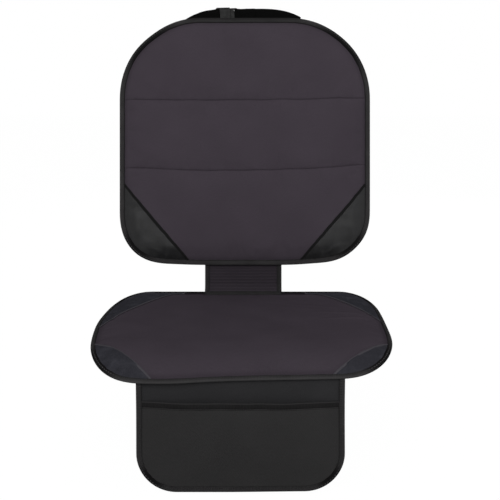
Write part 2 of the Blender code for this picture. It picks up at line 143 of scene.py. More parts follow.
@dataclass(frozen=True)
class Fold:
    """A crease or soft ridge in cloth, along a straight line that fades at both ends."""

    start: Pair
    end: Pair
    width: float
    height: float

    def lift(self, x: Array, y: Array) -> Array:
        """Works out how far the fold lifts the cloth.

        Args:
            x: places across the panel.
            y: places along the panel.

        Returns:
            The lift at each place, negative for a crease.
        """
        run = (self.end[0] - self.start[0], self.end[1] - self.start[1])
        length = math.hypot(*run)
        along = ((x - self.start[0]) * run[0] + (y - self.start[1]) * run[1]) / length
        aside = ((x - self.start[0]) * run[1] - (y - self.start[1]) * run[0]) / length
        share = np.clip(along / length, 0.0, 1.0)
        return self.height * np.sin(math.pi * share) ** 1.3 * np.exp(-((aside / self.width) ** 2))


@dataclass(frozen=True)
class Ease:
    """A place where the sewn panel runs a little wider or narrower than its pattern."""

    centre: Pair
    reach: Pair
    move: Pair

    def amount(self, x: Array, y: Array) -> Array:
        """Returns the share of the move at each place."""
        across, along = (x - self.centre[0]) / self.reach[0], (y - self.centre[1]) / self.reach[1]
        return np.exp(-(across ** 2) - along ** 2)


def eased(x: Array, y: Array, eases: Sequence[Ease]) -> tuple[Array, Array]:
    """Returns flat places moved by every ease."""
    shares = [ease.amount(x, y) for ease in eases]
    return (x + sum(share * ease.move[0] for share, ease in zip(shares, eases)),
            y + sum(share * ease.move[1] for share, ease in zip(shares, eases)))


def run_lengths(points: Array) -> Array:
    """Returns the distance of each point from the first one, along their path."""
    return np.concatenate(([0.0], np.cumsum(np.linalg.norm(np.diff(points, axis=0), axis=1))))


def resample(points: Array, lengths: Array, places: Array) -> Array:
    """Returns the points at given places along a path with known lengths."""
    return np.column_stack([np.interp(places, lengths, points[:, axis]) for axis in (0, 1)])


def squared_off(wave: Array, power: float) -> Array:
    """Returns a wave with fuller ends, which keeps its sign."""
    return np.sign(wave) * np.abs(wave) ** power


# Shapes of the panels


def with_borders(faces: Iterable[bmesh.types.BMFace]) -> list[object]:
    """Returns faces with their corners and edges, each once and in the same order in every run."""
    faces = list(dict.fromkeys(faces))
    return [*dict.fromkeys(vert for face in faces for vert in face.verts),
            *dict.fromkeys(edge for face in faces for edge in face.edges), *faces]


@dataclass(frozen=True)
class Outline:
    """Stations along an edge: places, directions into the panel, and how much the edge curves there."""

    base: Array
    inward: Array
    bend: Array

    def along(self) -> Array:
        """Returns the distance of each station from the first one."""
        return run_lengths(self.base)


@dataclass(frozen=True)
class Corner:
    """One rounded corner of a plan, a quarter of an ellipse or of a fuller curve."""

    x: float
    y: float
    reach: float
    run: float
    fullness: float
    start: float

    def direction(self, share: float) -> Pair:
        """Returns the way out from the corner's centre, at a share of its turn."""
        angle = math.radians(self.start + 90 * share)
        power = 2 / self.fullness
        return (math.copysign(abs(math.cos(angle)) ** power, math.cos(angle)),
                math.copysign(abs(math.sin(angle)) ** power, math.sin(angle)))

    def point(self, share: float, inset: float) -> Pair:
        """Returns the edge's place at a share of the turn, moved inwards by inset."""
        out = self.direction(share)
        return (self.x + (self.reach - inset) * out[0], self.y + (self.run - inset) * out[1])


@dataclass(frozen=True)
class Plan:
    """Rounded plan of a panel, whose near end has the lower y. Radii are (reach in x, run in y)."""

    width: float
    near: float
    far: float
    near_radii: Pair
    far_radii: Pair
    near_fullness: float = 2.0
    far_fullness: float = 2.0
    corner_steps: int = 26
    side_step: float = 0.006

    def corners(self) -> list["Corner"]:
        """Returns the four corners anticlockwise, from the right of the near end."""
        rows = ((1, self.near, 1, self.near_radii, self.near_fullness, -90),
                (1, self.far, -1, self.far_radii, self.far_fullness, 0),
                (-1, self.far, -1, self.far_radii, self.far_fullness, 90),
                (-1, self.near, 1, self.near_radii, self.near_fullness, 180))
        return [Corner(side * (self.width / 2 - reach), end + inward * run, reach, run, fullness, start)
                for side, end, inward, (reach, run), fullness, start in rows]

    def outline(self) -> Outline:
        """Walks once around the edge.

        Returns:
            The stations, anticlockwise from the right end of the near side, the last one on the first.
        """
        base, inward, bend = [], [], []
        for corner in self.corners():
            for step in range(self.corner_steps + 1):
                share = step / self.corner_steps
                base.append(corner.point(share, 0.0))
                inward.append(tuple(-part for part in corner.direction(share)))
                bend.append(math.sin(math.pi * share))
        base.append(base[0]), inward.append(inward[0]), bend.append(bend[0])
        full = [[], [], []]
        for index in range(len(base) - 1):
            gap = math.dist(base[index], base[index + 1])
            parts = 1 if bend[index] + bend[index + 1] > 1e-9 else max(1, round(gap / self.side_step))
            for part in range(parts):
                share = part / parts
                for rows, values in zip(full[:2], (base, inward)):
                    rows.append([a + (b - a) * share for a, b in zip(values[index], values[index + 1])])
                full[2].append(bend[index] + (bend[index + 1] - bend[index]) * share)
        return Outline(*(np.array(rows + rows[:1]) for rows in full))

    def rim_distance(self, x: Array, y: Array) -> Array:
        """Works out how far places lie inside the edge.

        Args:
            x: places across the panel.
            y: places along the panel.

        Returns:
            The distance from the edge, exact near the edge.
        """
        distance = np.minimum(self.width / 2 - np.abs(x), np.minimum(y - self.near, self.far - y))
        for end, inward, (reach, run), power in ((self.near, 1, self.near_radii, self.near_fullness),
                                                 (self.far, -1, self.far_radii, self.far_fullness)):
            past_x = np.abs(x) - (self.width / 2 - reach)
            past_y = ((end + inward * run) - y) * inward
            corner = (past_x > 0) & (past_y > 0)
            if not corner.any():
                continue
            across, down = past_x[corner], past_y[corner]
            inset = np.zeros_like(across)
            limit = 0.9 * min(reach, run)
            for _ in range(12):
                wide, tall = reach - inset, run - inset
                excess = (across / wide) ** power + (down / tall) ** power - 1
                rate = power * ((across / wide) ** power / wide + (down / tall) ** power / tall)
                inset = np.clip(inset - excess / np.maximum(rate, 1e-6), -0.02, limit)
            distance[corner] = inset
        return distance

    def trim(self, bm: bmesh.types.BMesh, inset: float) -> None:
        """Cuts a rectangular mesh down to the rounded plan.

        Args:
            bm: flat mesh whose straight sides already lie on the plan's.
            inset: how far inside the edge the cut runs.
        """
        for corner in self.corners():
            sign_x, sign_y = math.copysign(1, corner.x), 1 if corner.start in (0, 90) else -1
            geometry = with_borders(
                face for vert in bm.verts if (vert.co.x - corner.x) * sign_x > -0.01
                and (vert.co.y - corner.y) * sign_y > -0.01 for face in vert.link_faces)
            points = [Vector((*corner.point(step / self.corner_steps, inset), 0))
                      for step in range(self.corner_steps + 1)]
            for first, second in zip(points, points[1:]):
                out = Vector((second.y - first.y, first.x - second.x, 0)).normalized()
                geometry = bmesh.ops.bisect_plane(bm, geom=geometry, dist=MERGE, plane_co=first, plane_no=out,
                                                  clear_outer=True)["geom"]


@dataclass(frozen=True)
class LeanFrame:
    """A panel's own frame: x across, y up along the panel, z out of its front."""

    origin: tuple[float, float, float]
    tilt: float
    eases: tuple[Ease, ...] = ()

    def place(self, points: Array) -> Array:
        """Moves places from the panel's frame to the mat's.

        Args:
            points: rows of x, y and z.

        Returns:
            The same rows in the mat's frame.
        """
        x, y, z = points.T
        x, y = eased(x, y, self.eases)
        cosine, sine = math.cos(self.tilt), math.sin(self.tilt)
        return np.stack((self.origin[0] + x, self.origin[1] + y * cosine - z * sine,
                         self.origin[2] + y * sine + z * cosine), axis=1)


@dataclass(frozen=True)
class DrapedFrame:
    """The seat panel's frame: flat at the rear, rolled down at the front and lifted at its front right."""

    rear: float = 0.17
    depth: float = SEAT_DEPTH
    droop_start: float = 0.32
    droop_angle: float = math.radians(24)
    twist: float = 0.0195
    twist_start: float = 0.14
    rear_sag: float = 0.0050
    eases: tuple[Ease, ...] = ()

    def place(self, points: Array) -> Array:
        """Lays places of the flat panel over the seat.

        Args:
            points: rows of x, minus the distance from the rear edge, and height.

        Returns:
            The same rows in the mat's frame.
        """
        x, y, height = points.T
        x, y = eased(x, y, self.eases)
        distance = -y
        radius = (self.depth - self.droop_start) / self.droop_angle
        bend = np.maximum(distance - self.droop_start, 0.0) / radius
        reach = np.minimum(distance, self.droop_start) + radius * np.sin(bend)
        drop = radius * (1 - np.cos(bend))
        lift = self.twist * x * smooth_step(self.twist_start, self.depth, distance)
        sag = smooth_step(0.005, 0.014, distance) * (1 - smooth_step(0.022, 0.110, distance))
        sag = sag * (1 - smooth_step(0.115, 0.185, np.abs(x)))
        lift = lift - self.rear_sag * sag
        return np.stack((x, self.rear - reach - height * np.sin(bend), height * np.cos(bend) - drop + lift),
                        axis=1)


Frame = Union[LeanFrame, DrapedFrame]
Carrier = Union[Frame, "Connector", "PocketFlap"]


# Meshes


def spaced(low: float, high: float, step: float) -> Array:
    """Returns evenly spaced places from low to high, about step apart."""
    return np.linspace(low, high, max(1, round((high - low) / step)) + 1)


def make_grid(columns: Array, rows: Array) -> bmesh.types.BMesh:
    """Makes a flat grid with its lines at given places.

    Args:
        columns: x of each column of vertices.
        rows: y of each row of vertices.

    Returns:
        The grid's bmesh, at height 0.
    """
    bm = bmesh.new()
    bmesh.ops.create_grid(bm, x_segments=len(columns) - 1, y_segments=len(rows) - 1, size=1.0)
    for vert in bm.verts:
        column = round((vert.co.x + 1) / 2 * (len(columns) - 1))
        row = round((vert.co.y + 1) / 2 * (len(rows) - 1))
        vert.co = (columns[column], rows[row], 0.0)
    return bm


def read_places(mesh: bpy.types.Mesh) -> Array:
    """Returns a mesh's vertices as rows of x, y and z."""
    places = np.empty(len(mesh.vertices) * 3)
    mesh.vertices.foreach_get("co", places)
    return places.reshape(-1, 3)


def write_cloth_map(mesh: bpy.types.Mesh, flat: Array) -> None:
    """Stores where each corner lies on the flat cloth, in metres.

    Args:
        mesh: the mesh to mark.
        flat: one row of two lengths for each vertex.
    """
    corner_verts = np.empty(len(mesh.loops), dtype=np.int32)
    mesh.loops.foreach_get("vertex_index", corner_verts)
    layer = mesh.uv_layers.new(name=CLOTH_MAP)
    layer.data.foreach_set("uv", flat[corner_verts].astype(np.float32).ravel())


def write_value(mesh: bpy.types.Mesh, name: str, values: Array) -> None:
    """Stores one number for each vertex under a name."""
    layer = mesh.attributes.new(name, "FLOAT", "POINT")
    layer.data.foreach_set("value", np.broadcast_to(values, len(mesh.vertices)).astype(np.float32))


def make_object(name: str, bm: bmesh.types.BMesh) -> bpy.types.Object:
    """Turns a bmesh into a smooth-shaded object in the scene.

    Args:
        name: the piece's name.
        bm: the finished bmesh, which is freed.

    Returns:
        The new object.
    """
    mesh = bpy.data.meshes.new(name)
    bm.to_mesh(mesh)
    bm.free()
    mesh.polygons.foreach_set("use_smooth", [True] * len(mesh.polygons))
    obj = bpy.data.objects.new(name, mesh)
    bpy.context.scene.collection.objects.link(obj)
    return obj


@contextmanager
def edited(obj: bpy.types.Object) -> Iterator[bmesh.types.BMesh]:
    """Opens a piece's mesh for editing, and writes it back smooth-shaded."""
    bm = bmesh.new()
    bm.from_mesh(obj.data)
    yield bm
    bm.to_mesh(obj.data)
    bm.free()
    obj.data.polygons.foreach_set("use_smooth", [True] * len(obj.data.polygons))


def fill_open_ends(bm: bmesh.types.BMesh) -> None:
    """Gives each open end a face."""
    bmesh.ops.holes_fill(bm, edges=[edge for edge in bm.edges if edge.is_boundary], sides=0)


def weld(obj: bpy.types.Object, fill_holes: bool = True) -> None:
    """Closes a swept mesh where its first and last rows meet, and turns its faces outwards."""
    with edited(obj) as bm:
        bmesh.ops.remove_doubles(bm, verts=bm.verts, dist=MERGE)
        if fill_holes:
            fill_open_ends(bm)
        bmesh.ops.recalc_face_normals(bm, faces=bm.faces)


def thicken(obj: bpy.types.Object, thickness: float, offset: float = 1.0) -> None:
    """Gives a sheet its thickness.

    Args:
        obj: the sheet.
        thickness: thickness of the cloth.
        offset: 1 grows along the faces' normals, -1 against them.
    """
    wall = obj.modifiers.new("thickness", "SOLIDIFY")
    wall.thickness = thickness
    wall.offset = offset


Shape = Callable[[Array, Array], tuple[Array, Array]]


def make_sheet(name: str, columns: Array, rows: Array, shape: Shape) -> bpy.types.Object:
    """Makes a sheet by moving a grid's vertices.

    Args:
        name: the piece's name.
        columns: first parameter of each column.
        rows: second parameter of each row.
        shape: gives the places and the flat lengths for arrays of both parameters.

    Returns:
        The sheet, with its cloth map.
    """
    obj = make_object(name, make_grid(columns, rows))
    grid = read_places(obj.data)
    places, flat = shape(grid[:, 0], grid[:, 1])
    write_cloth_map(obj.data, flat)
    obj.data.vertices.foreach_set("co", places.ravel())
    return obj


def make_tube(name: str, stations: Array, turns: int, shape: Shape) -> bpy.types.Object:
    """Makes a closed piece by carrying a ring along a run.

    Args:
        name: the piece's name.
        stations: parameter of each ring.
        turns: how many points a ring has.
        shape: gives the places and the flat lengths from the stations and the angles round the ring.

    Returns:
        The piece, closed at both ends.
    """
    obj = make_sheet(name, stations, np.arange(turns + 1.0),
                     lambda station, turn: shape(station, turn / turns * 2 * math.pi))
    weld(obj)
    return obj


def sweep_tape(name: str, outline: Outline, section: "TapeSection", frame: "Carrier",
               closed: bool = True) -> bpy.types.Object:
    """Folds a tape over an edge.

    Args:
        name: the piece's name.
        outline: stations along the edge.
        section: the folded tape's cross-section.
        frame: what lays the tape's places in the mat's frame.
        closed: whether the tape meets itself.

    Returns:
        The tape, closed all round.
    """
    along = outline.along()
    insets, heights, across = section.loop(along, outline.bend)
    count = insets.shape[1]
    gathers = []

    def shape(station: Array, corner: Array) -> tuple[Array, Array]:
        i, j = np.rint(station).astype(int), np.rint(corner).astype(int)
        gathers.append(outline.bend[i])
        inset = insets[i, j % count]
        flat = outline.base[i] + outline.inward[i] * inset[:, None]
        places = frame.place(np.column_stack((flat, heights[i, j % count])))
        return places, np.column_stack((along[i], across[j]))

    obj = make_sheet(name, np.arange(len(along), dtype=float), np.arange(count + 1, dtype=float), shape)
    write_value(obj.data, GATHER, gathers[0])
    weld(obj, fill_holes=not closed)
    return obj


@dataclass(frozen=True)
class TapeSection:
    """Cross-section of a tape folded over an edge, from its under leg round to its top leg."""

    leg: float
    bottom: float
    top: float
    thickness: float = 0.0009
    puff: float = 0.0005
    wave: float = 0.0004
    pucker: float = 0.00025
    pucker_pitch: float = 0.0062
    roll_steps: int = 7
    leg_steps: int = 6
    seed: int = 3

    @property
    def girth(self) -> float:
        """Returns the tape's width, measured round the fold."""
        radius = (self.top - self.bottom) / 2
        return 2 * (self.leg - radius) + math.pi * radius

    def loop(self, along: Array, bend: Array) -> tuple[Array, Array, Array]:
        """Works out the closed section at every station.

        Args:
            along: distance of each station.
            bend: how much the edge curves at each station.

        Returns:
            Insets and heights by station and corner, and each corner's place across the tape.
        """
        radius = (self.top - self.bottom) / 2
        middle = (self.top + self.bottom) / 2
        shares = np.arange(self.leg_steps) / self.leg_steps
        legs = self.leg + (radius - self.leg) * shares
        turns = np.linspace(-math.pi / 2, math.pi / 2, self.roll_steps)
        inset = np.concatenate((legs, radius - radius * np.cos(turns), legs[::-1]))
        height = np.concatenate((np.full_like(legs, self.bottom), middle + radius * np.sin(turns),
                                 np.full_like(legs, self.top)))
        upper = np.concatenate((np.zeros(len(legs) + len(turns)), np.ones(len(legs))))
        out = np.concatenate((np.zeros_like(legs), np.cos(turns), np.zeros_like(legs)))
        up = np.concatenate((-np.ones_like(legs), np.sin(turns), np.ones_like(legs)))
        span = np.concatenate(([0.0], np.cumsum(np.hypot(np.diff(inset), np.diff(height)))))
        across = np.concatenate((span, span[::-1] + self.girth, [2 * self.girth]))

        period = along[-1]
        phase = 2 * math.pi * along / period
        wobble = drift(30 * np.cos(phase), 30 * np.sin(phase), 2.2, self.seed)
        share = np.clip((inset - radius) / (self.leg - radius), 0.0, 1.0)
        insets = inset[None, :] + self.wave * wobble[:, None] * share[None, :]
        rounding = np.sin(math.pi * np.clip(share, 0, 1)) ** 0.8 * self.puff
        curl = -0.0004 * smooth_step(0.82, 1.0, share)
        waves = np.sin(2 * math.pi * along / self.pucker_pitch + 2.5 * wobble)
        swell = (rounding + curl)[None, :] * (1 + 0.25 * wobble[:, None])
        pucker = self.pucker * (0.15 + bend)[:, None] * waves[:, None] * share[None, :] ** 0.5
        heights = height[None, :] + (swell + pucker) * upper[None, :]
        inner_insets = insets + self.thickness * out[None, :]
        inner_heights = heights - self.thickness * up[None, :]
        return (np.concatenate((insets, inner_insets[:, ::-1]), axis=1),
                np.concatenate((heights, inner_heights[:, ::-1]), axis=1), across)


# Shader expressions


def operation(name: str, swapped: bool = False) -> Callable[..., "Signal"]:
    """Makes a signal's method from a Math node's operation, with the other value first where swapped."""
    def method(self: "Signal", *other: "Value") -> "Signal":
        """Returns the operation's result."""
        return self.graph.math(name, *((*other, self) if swapped else (self, *other)))
    return method


class Signal:
    """A node's output, with the operators that shader expressions use."""

    __add__ = __radd__ = operation("ADD")
    __sub__ = operation("SUBTRACT")
    __rsub__ = operation("SUBTRACT", swapped=True)
    __mul__ = __rmul__ = operation("MULTIPLY")
    __lt__ = operation("LESS_THAN")
    sine = operation("SINE")
    size = operation("ABSOLUTE")
    part = operation("FRACT")

    def __init__(self, graph: "Graph", socket: bpy.types.NodeSocket) -> None:
        """Keeps the graph and the output that the signal comes from."""
        self.graph = graph
        self.socket = socket

    def sibling(self, output: Union[str, int]) -> "Signal":
        """Returns another output of the same node."""
        return Signal(self.graph, self.socket.node.outputs[output])

    def between(self, low: float, high: float) -> "Signal":
        """Returns a smooth rise from 0 at low to 1 at high."""
        return self.graph.add("ShaderNodeMapRange", {"interpolation_type": "SMOOTHSTEP"},
                              {"Value": self, "From Min": low, "From Max": high})


Value = Union[Signal, float]


class Graph:
    """Builds a material or a world from shader expressions."""

    def __init__(self, name: str, world: bool = False) -> None:
        """Starts a material with its Principled shader, or a world with its background."""
        self.owner = bpy.data.worlds.new(name) if world else bpy.data.materials.new(name)
        self.owner.use_nodes = True
        self.tree = self.owner.node_tree
        self.shader = self.tree.nodes["Background" if world else "Principled BSDF"]

    def add(self, kind: str, settings: Optional[dict[str, object]] = None,
            sockets: Optional[dict[Union[str, int], object]] = None, output: Union[str, int] = 0) -> Signal:
        """Adds a node.

        Args:
            kind: the node's type.
            settings: its own settings.
            sockets: values or signals for its inputs.
            output: which output is wanted.

        Returns:
            The output as a signal.
        """
        node = self.tree.nodes.new(kind)
        for key, value in (settings or {}).items():
            setattr(node, key, value)
        for key, value in (sockets or {}).items():
            self.feed(node.inputs[key], value)
        return Signal(self, node.outputs[output])

    def feed(self, socket: bpy.types.NodeSocket, value: object) -> None:
        """Links a signal to a socket, or sets the socket's own value."""
        if isinstance(value, Signal):
            self.tree.links.new(value.socket, socket)
        else:
            socket.default_value = value

    def math(self, name: str, *values: Value) -> Signal:
        """Adds a Math node and returns its result."""
        return self.add("ShaderNodeMath", {"operation": name}, dict(enumerate(values)))

    def mix(self, share: Value, first: Union[Signal, Colour], second: Union[Signal, Colour]) -> Signal:
        """Returns a mix of two colours, with the first at share 0 and the second at share 1."""
        return self.add("ShaderNodeMix", {"data_type": "RGBA"}, {0: share, 6: first, 7: second}, 2)

    def cloth(self) -> tuple[Signal, Signal, Signal]:
        """Returns the place on the flat cloth as two lengths and as a vector."""
        place = self.add("ShaderNodeUVMap", {"uv_map": CLOTH_MAP})
        parts = self.add("ShaderNodeSeparateXYZ", None, {0: place})
        return parts, parts.sibling(1), place

    def value(self, name: str) -> Signal:
        """Returns a number stored on the mesh."""
        return self.add("ShaderNodeAttribute", {"attribute_name": name}, None, "Fac")

    def noise(self, place: Signal, scale: float, detail: float = 2.0, stretch: float = 1.0) -> Signal:
        """Adds a noise texture.

        Args:
            place: the vector that it reads.
            scale: features per metre.
            detail: how many finer layers it has.
            stretch: how much longer its features are along the second direction.

        Returns:
            The noise, about 0.5 on average.
        """
        scales = (scale, scale / stretch, scale)
        scaled = self.add("ShaderNodeMapping", None, {"Vector": place, "Scale": scales})
        return self.add("ShaderNodeTexNoise", None, {"Vector": scaled, "Scale": 1.0, "Detail": detail}, 0)

    def bump(self, height: Signal, distance: float) -> Signal:
        """Returns a normal from a height, where distance is how tall a height of 1 is."""
        return self.add("ShaderNodeBump", None, {"Strength": 1.0, "Distance": distance, "Height": height})

    def finish(self, constants: dict[str, object], **varying: Signal) -> bpy.types.ID:
        """Feeds the shader.

        Args:
            constants: values that are the same all over, by the shader's own socket names.
            **varying: signals by socket name, with _ for a space.

        Returns:
            The finished material or world.
        """
        for key, value in (constants | varying).items():
            self.feed(self.shader.inputs[key.replace("_", " ")], value)
        return self.owner

def shade(colour: Colour, factor: float) -> Colour:
    """Returns a colour made lighter or darker by a factor."""
    return (colour[0] * factor, colour[1] * factor, colour[2] * factor, 1.0)


def grey(level: float, blue: float = 0.0) -> Colour:
    """Returns a grey, slightly blue or plum where asked."""
    return (level, level, level + blue, 1.0)


@dataclass(frozen=True)
class Finish:
    """How a piece's surface looks, from a few named values."""

    name: str
    colour: Colour

    def layered(self, graph: Graph, colour: Signal, *rows: tuple[Value, float]) -> Signal:
        """Lays shades of the finish's colour over a colour.

        Args:
            graph: the material's graph.
            colour: the colour below.
            *rows: each layer's share, and how much lighter or darker than the finish's colour it is.

        Returns:
            The colour with its layers.
        """
        for share, factor in rows:
            colour = graph.mix(share, colour, shade(self.colour, factor))
        return colour

    def material(self) -> bpy.types.Material:
        """Builds the material from the finish's values."""
        raise NotImplementedError


@dataclass(frozen=True)
class Woven(Finish):
    """A woven cloth: crossing threads, flecks of lighter fibre and slow shade changes."""

    pitch: float = 0.0011
    depth: float = 0.00016
    contrast: float = 0.34
    mottle: float = 0.35
    roughness: float = 0.86
    rim_shade: float = 0.0
    rib_pitch: float = 0.0
    thread_pitch: float = 0.0034

    def material(self) -> bpy.types.Material:
        """Builds the material from the finish's values."""
        graph = Graph(self.name)
        u, v, place = graph.cloth()
        threads = (u * (math.pi / self.pitch)).sine() * (v * (math.pi / self.pitch)).sine()
        slub = graph.noise(place, 900.0, 2.0, 2.5)
        cloud = graph.noise(place, 12.0, 3.0)
        tone = 0.5 + threads * (self.contrast / 2) + (slub - 0.5) * 0.6 + (cloud - 0.5) * self.mottle
        height = threads * 0.35 + slub * 0.65
        if self.rib_pitch:
            tone = tone + (v * (2 * math.pi / self.rib_pitch)).sine() * 0.12
        colour = graph.mix(tone.between(0.0, 1.0), shade(self.colour, 0.72), shade(self.colour, 1.3))
        if self.rim_shade:
            # Painted shade near the binding, the painted shadow where the shadow value is set, and painted
            # shade in the seam's groove; the lighter stitches are the thread's own colour.
            edge = 1 - graph.value(RIM).between(0.009, 0.018)
            seam = graph.value(SEAM).size()
            seam_groove_shade = 1 - seam.between(0.0002, 0.0013)
            stitch = (seam < 0.00045) * ((u * (1 / self.thread_pitch)).part() < 0.64)
            colour = self.layered(graph, colour, (edge * self.rim_shade, 0.25),
                                  (graph.value(SHADOW) * 0.85, 0.2), (seam_groove_shade * 0.6, 0.25),
                                  (stitch * 0.85, 1.15))
            height = height + stitch * 1.4
        return graph.finish({"Specular IOR Level": 0.0}, Base_Color=colour,
                            Roughness=self.roughness + (slub - 0.5) * 0.16,
                            Normal=graph.bump(height, self.depth))


@dataclass(frozen=True)
class Ribbed(Finish):
    """A ribbed binding tape with stitches along each leg and gathers at its bends, with light and shade
    painted in: a highlight along its fold, shade at its inner edge and in its stitch dents, shade at its
    bends dotted with highlights on the tucks, and the painted shadow.
    """

    girth: float
    rib_pitch: float = 0.0021
    stitch_inset: float = 0.0026
    stitch_pitch: float = 0.0034
    depth: float = 0.00014
    # The fields below set the painted highlight along the fold, its width, and the painted shade along the
    # tape's inner edge.
    fold_highlight: float = 0.55
    fold_width: float = 0.0042
    inner_shade: float = 0.45
    gather_pitch: float = 0.0052
    gather_ridge: float = 0.0047

    def material(self) -> bpy.types.Material:
        """Builds the material from the finish's values."""
        graph = Graph(self.name)
        u, v, place = graph.cloth()
        ribs = (u * (2 * math.pi / self.rib_pitch)).sine()
        fuzz = graph.noise(place, 500.0, 3.0)
        cloud = graph.noise(place, 30.0, 2.0)
        leg = self.girth / 2
        from_fold = (v - leg).size()
        # Painted highlight along the rolled fold.
        fold = 1 - from_fold.between(self.fold_width * 0.3, self.fold_width)
        to_stitch = (from_fold - (leg - self.stitch_inset)).size()
        stitch = (to_stitch < 0.00038) * ((u * (1 / self.stitch_pitch)).part() < 0.66)
        # Painted shade in the dent beside each stitch line.
        dent = (1 - to_stitch.between(0.0004, 0.0013)) * (1 - stitch)
        # Painted shade along the tape's inner edge, beside the cloth.
        inner = from_fold.between(leg - 0.0024, leg - 0.0006)
        # Painted shade where the tape bends round a corner, and painted highlights on the tucks along a
        # ridge.
        gathered = graph.value(GATHER).between(0.50, 0.98)
        tuck = (u * (2 * math.pi / self.gather_pitch) + (fuzz - 0.5) * 5.0).sine()
        ridge = 1 - (from_fold - self.gather_ridge).size().between(0.0003, 0.0008)
        tone = 0.5 + ribs * 0.34 + (fuzz - 0.5) * 0.8 + (cloud - 0.5) * 0.9
        colour = graph.mix(tone.between(0.0, 1.0), shade(self.colour, 0.66), shade(self.colour, 1.3))
        colour = self.layered(graph, colour, (fold * self.fold_highlight, 1.8), (inner * self.inner_shade, 0.2),
                              (dent * 0.6, 0.4), (stitch * 0.7, 1.9), (gathered * 0.9, 0.2),
                              (gathered * ridge * tuck.between(-0.4, 0.6) * 0.8, 2.6),
                              (graph.value(SHADOW) * 0.85, 0.2))
        height = ribs * 0.3 + fuzz * 0.4 + stitch * 1.6 - dent * 1.2
        return graph.finish({"Specular IOR Level": 0.0}, Base_Color=colour,
                            Roughness=0.72 + (fuzz - 0.5) * 0.2, Normal=graph.bump(height, self.depth))


@dataclass(frozen=True)
class Leatherette(Finish):
    """A satin synthetic leather with a fine pebbled grain."""

    grain: float = 750.0
    depth: float = 0.00012
    roughness: float = 0.44
    specular: float = 0.20

    def material(self) -> bpy.types.Material:
        """Builds the material from the finish's values."""
        graph = Graph(self.name)
        _, _, place = graph.cloth()
        scaled = graph.add("ShaderNodeVectorMath", {"operation": "SCALE"}, {0: place, "Scale": self.grain})
        warp = graph.add("ShaderNodeTexNoise", None, {"Vector": scaled, "Scale": 0.6, "Detail": 2.0}, "Color")
        bent = graph.add("ShaderNodeVectorMath", {"operation": "ADD"}, {0: scaled, 1: warp})
        cells = graph.add("ShaderNodeTexVoronoi", {"feature": "DISTANCE_TO_EDGE"},
                          {"Vector": bent, "Scale": 1.0})
        pebble = cells.between(0.0, 0.22)
        rub = graph.noise(place, 45.0, 4.0)
        colour = graph.mix(pebble, shade(self.colour, 0.55), self.colour)
        colour = self.layered(graph, colour, (rub.between(0.45, 0.75) * 0.35, 1.8))
        height = pebble * 0.6 + graph.noise(place, 180.0, 2.0) * 0.8
        return graph.finish({"Specular IOR Level": self.specular}, Base_Color=colour,
                            Roughness=self.roughness + (rub - 0.5) * 0.3 - pebble * 0.04,
                            Normal=graph.bump(height, self.depth))


@dataclass(frozen=True)
class Moulded(Finish):
    """A satin moulded plastic with a faint spark-eroded texture."""

    roughness: float = 0.42

    def material(self) -> bpy.types.Material:
        """Builds the material from the finish's values."""
        graph = Graph(self.name)
        place = graph.add("ShaderNodeTexCoord", output="Object")
        grit = graph.noise(place, 2600.0, 2.0)
        rub = graph.noise(place, 160.0, 3.0)
        colour = graph.mix(rub.between(0.35, 0.7), shade(self.colour, 0.85), shade(self.colour, 1.25))
        return graph.finish({"Specular IOR Level": 0.04}, Base_Color=colour,
                            Roughness=self.roughness + (rub - 0.5) * 0.2, Normal=graph.bump(grit, 0.00004))


FABRIC: Colour = (0.0500, 0.0415, 0.0515, 1.0)
TAPE: Colour = (0.0235, 0.0228, 0.0233, 1.0)
LINING = Woven("grip_lining", grey(0.042, 0.0012), pitch=0.0024, depth=0.0003, contrast=0.7, rim_shade=0.3)
BACK_LEATHER = Leatherette("back_leatherette", (0.013, 0.013, 0.0137, 1.0))
SEAT_LEATHER = Leatherette("seat_leatherette", (0.0330, 0.0330, 0.0400, 1.0), roughness=0.6, specular=0.0)
# Copies of one diagonal trim: the back's is painted dark as the shade of the step it runs along, and the
# seat's is painted pale as a highlight where it catches the light.
SHADED_BACK_TRIM = Woven("patch_trim", grey(0.011), pitch=0.0009, roughness=0.7, contrast=0.3)
LIT_SEAT_TRIM = Woven("seat_patch_trim", (0.050, 0.047, 0.054, 1.0), pitch=0.0009, roughness=0.7, contrast=0.3)
CONNECTOR_CLOTH = Woven("connector_fabric", (0.0290, 0.0245, 0.0300, 1.0), rib_pitch=0.0055)
FLAP_CLOTH = Woven("flap_fabric", (0.0240, 0.0238, 0.0250, 1.0), pitch=0.0009, roughness=0.75)
POCKET_CLOTH = Woven("pocket_fabric", (0.0262, 0.0257, 0.0260, 1.0), pitch=0.0012, roughness=0.78)
WEBBING = Woven("webbing", grey(0.0045), pitch=0.0018, depth=0.0003, contrast=0.6, roughness=0.7)
PLASTIC = Moulded("buckle_plastic", grey(0.0270))


def padded_cloth(factor: float = 1.0) -> Woven:
    """Returns a padded panel's face cloth, made darker or lighter by a factor; a factor below 1 paints shade
    on the panel.
    """
    return Woven(f"padded_fabric_{round(factor * 100)}", shade(FABRIC, factor), rim_shade=0.25)


def binding_tape(girth: float, factor: float = 1.0, inner_shade: float = 0.45) -> Ribbed:
    """Returns the binding tape for a width round the fold, as a lighter or darker copy by a factor that
    paints how the edge it binds is lit.
    """
    name = f"binding_tape_{round(girth * 1e5)}_{round(factor * 100)}"
    return Ribbed(name, shade(TAPE, factor), girth, inner_shade=inner_shade)


def mouth_tape(girth: float) -> Ribbed:
    """Returns the dark tape on the pocket's mouth, with a painted highlight along its fold."""
    return Ribbed("pocket_mouth_tape", shade(TAPE, 0.58), girth, fold_highlight=1.0, fold_width=0.0023)


@cache
def material_of(finish: Finish) -> bpy.types.Material:
    """Returns a finish's material, made the first time."""
    return finish.material()


# Pieces


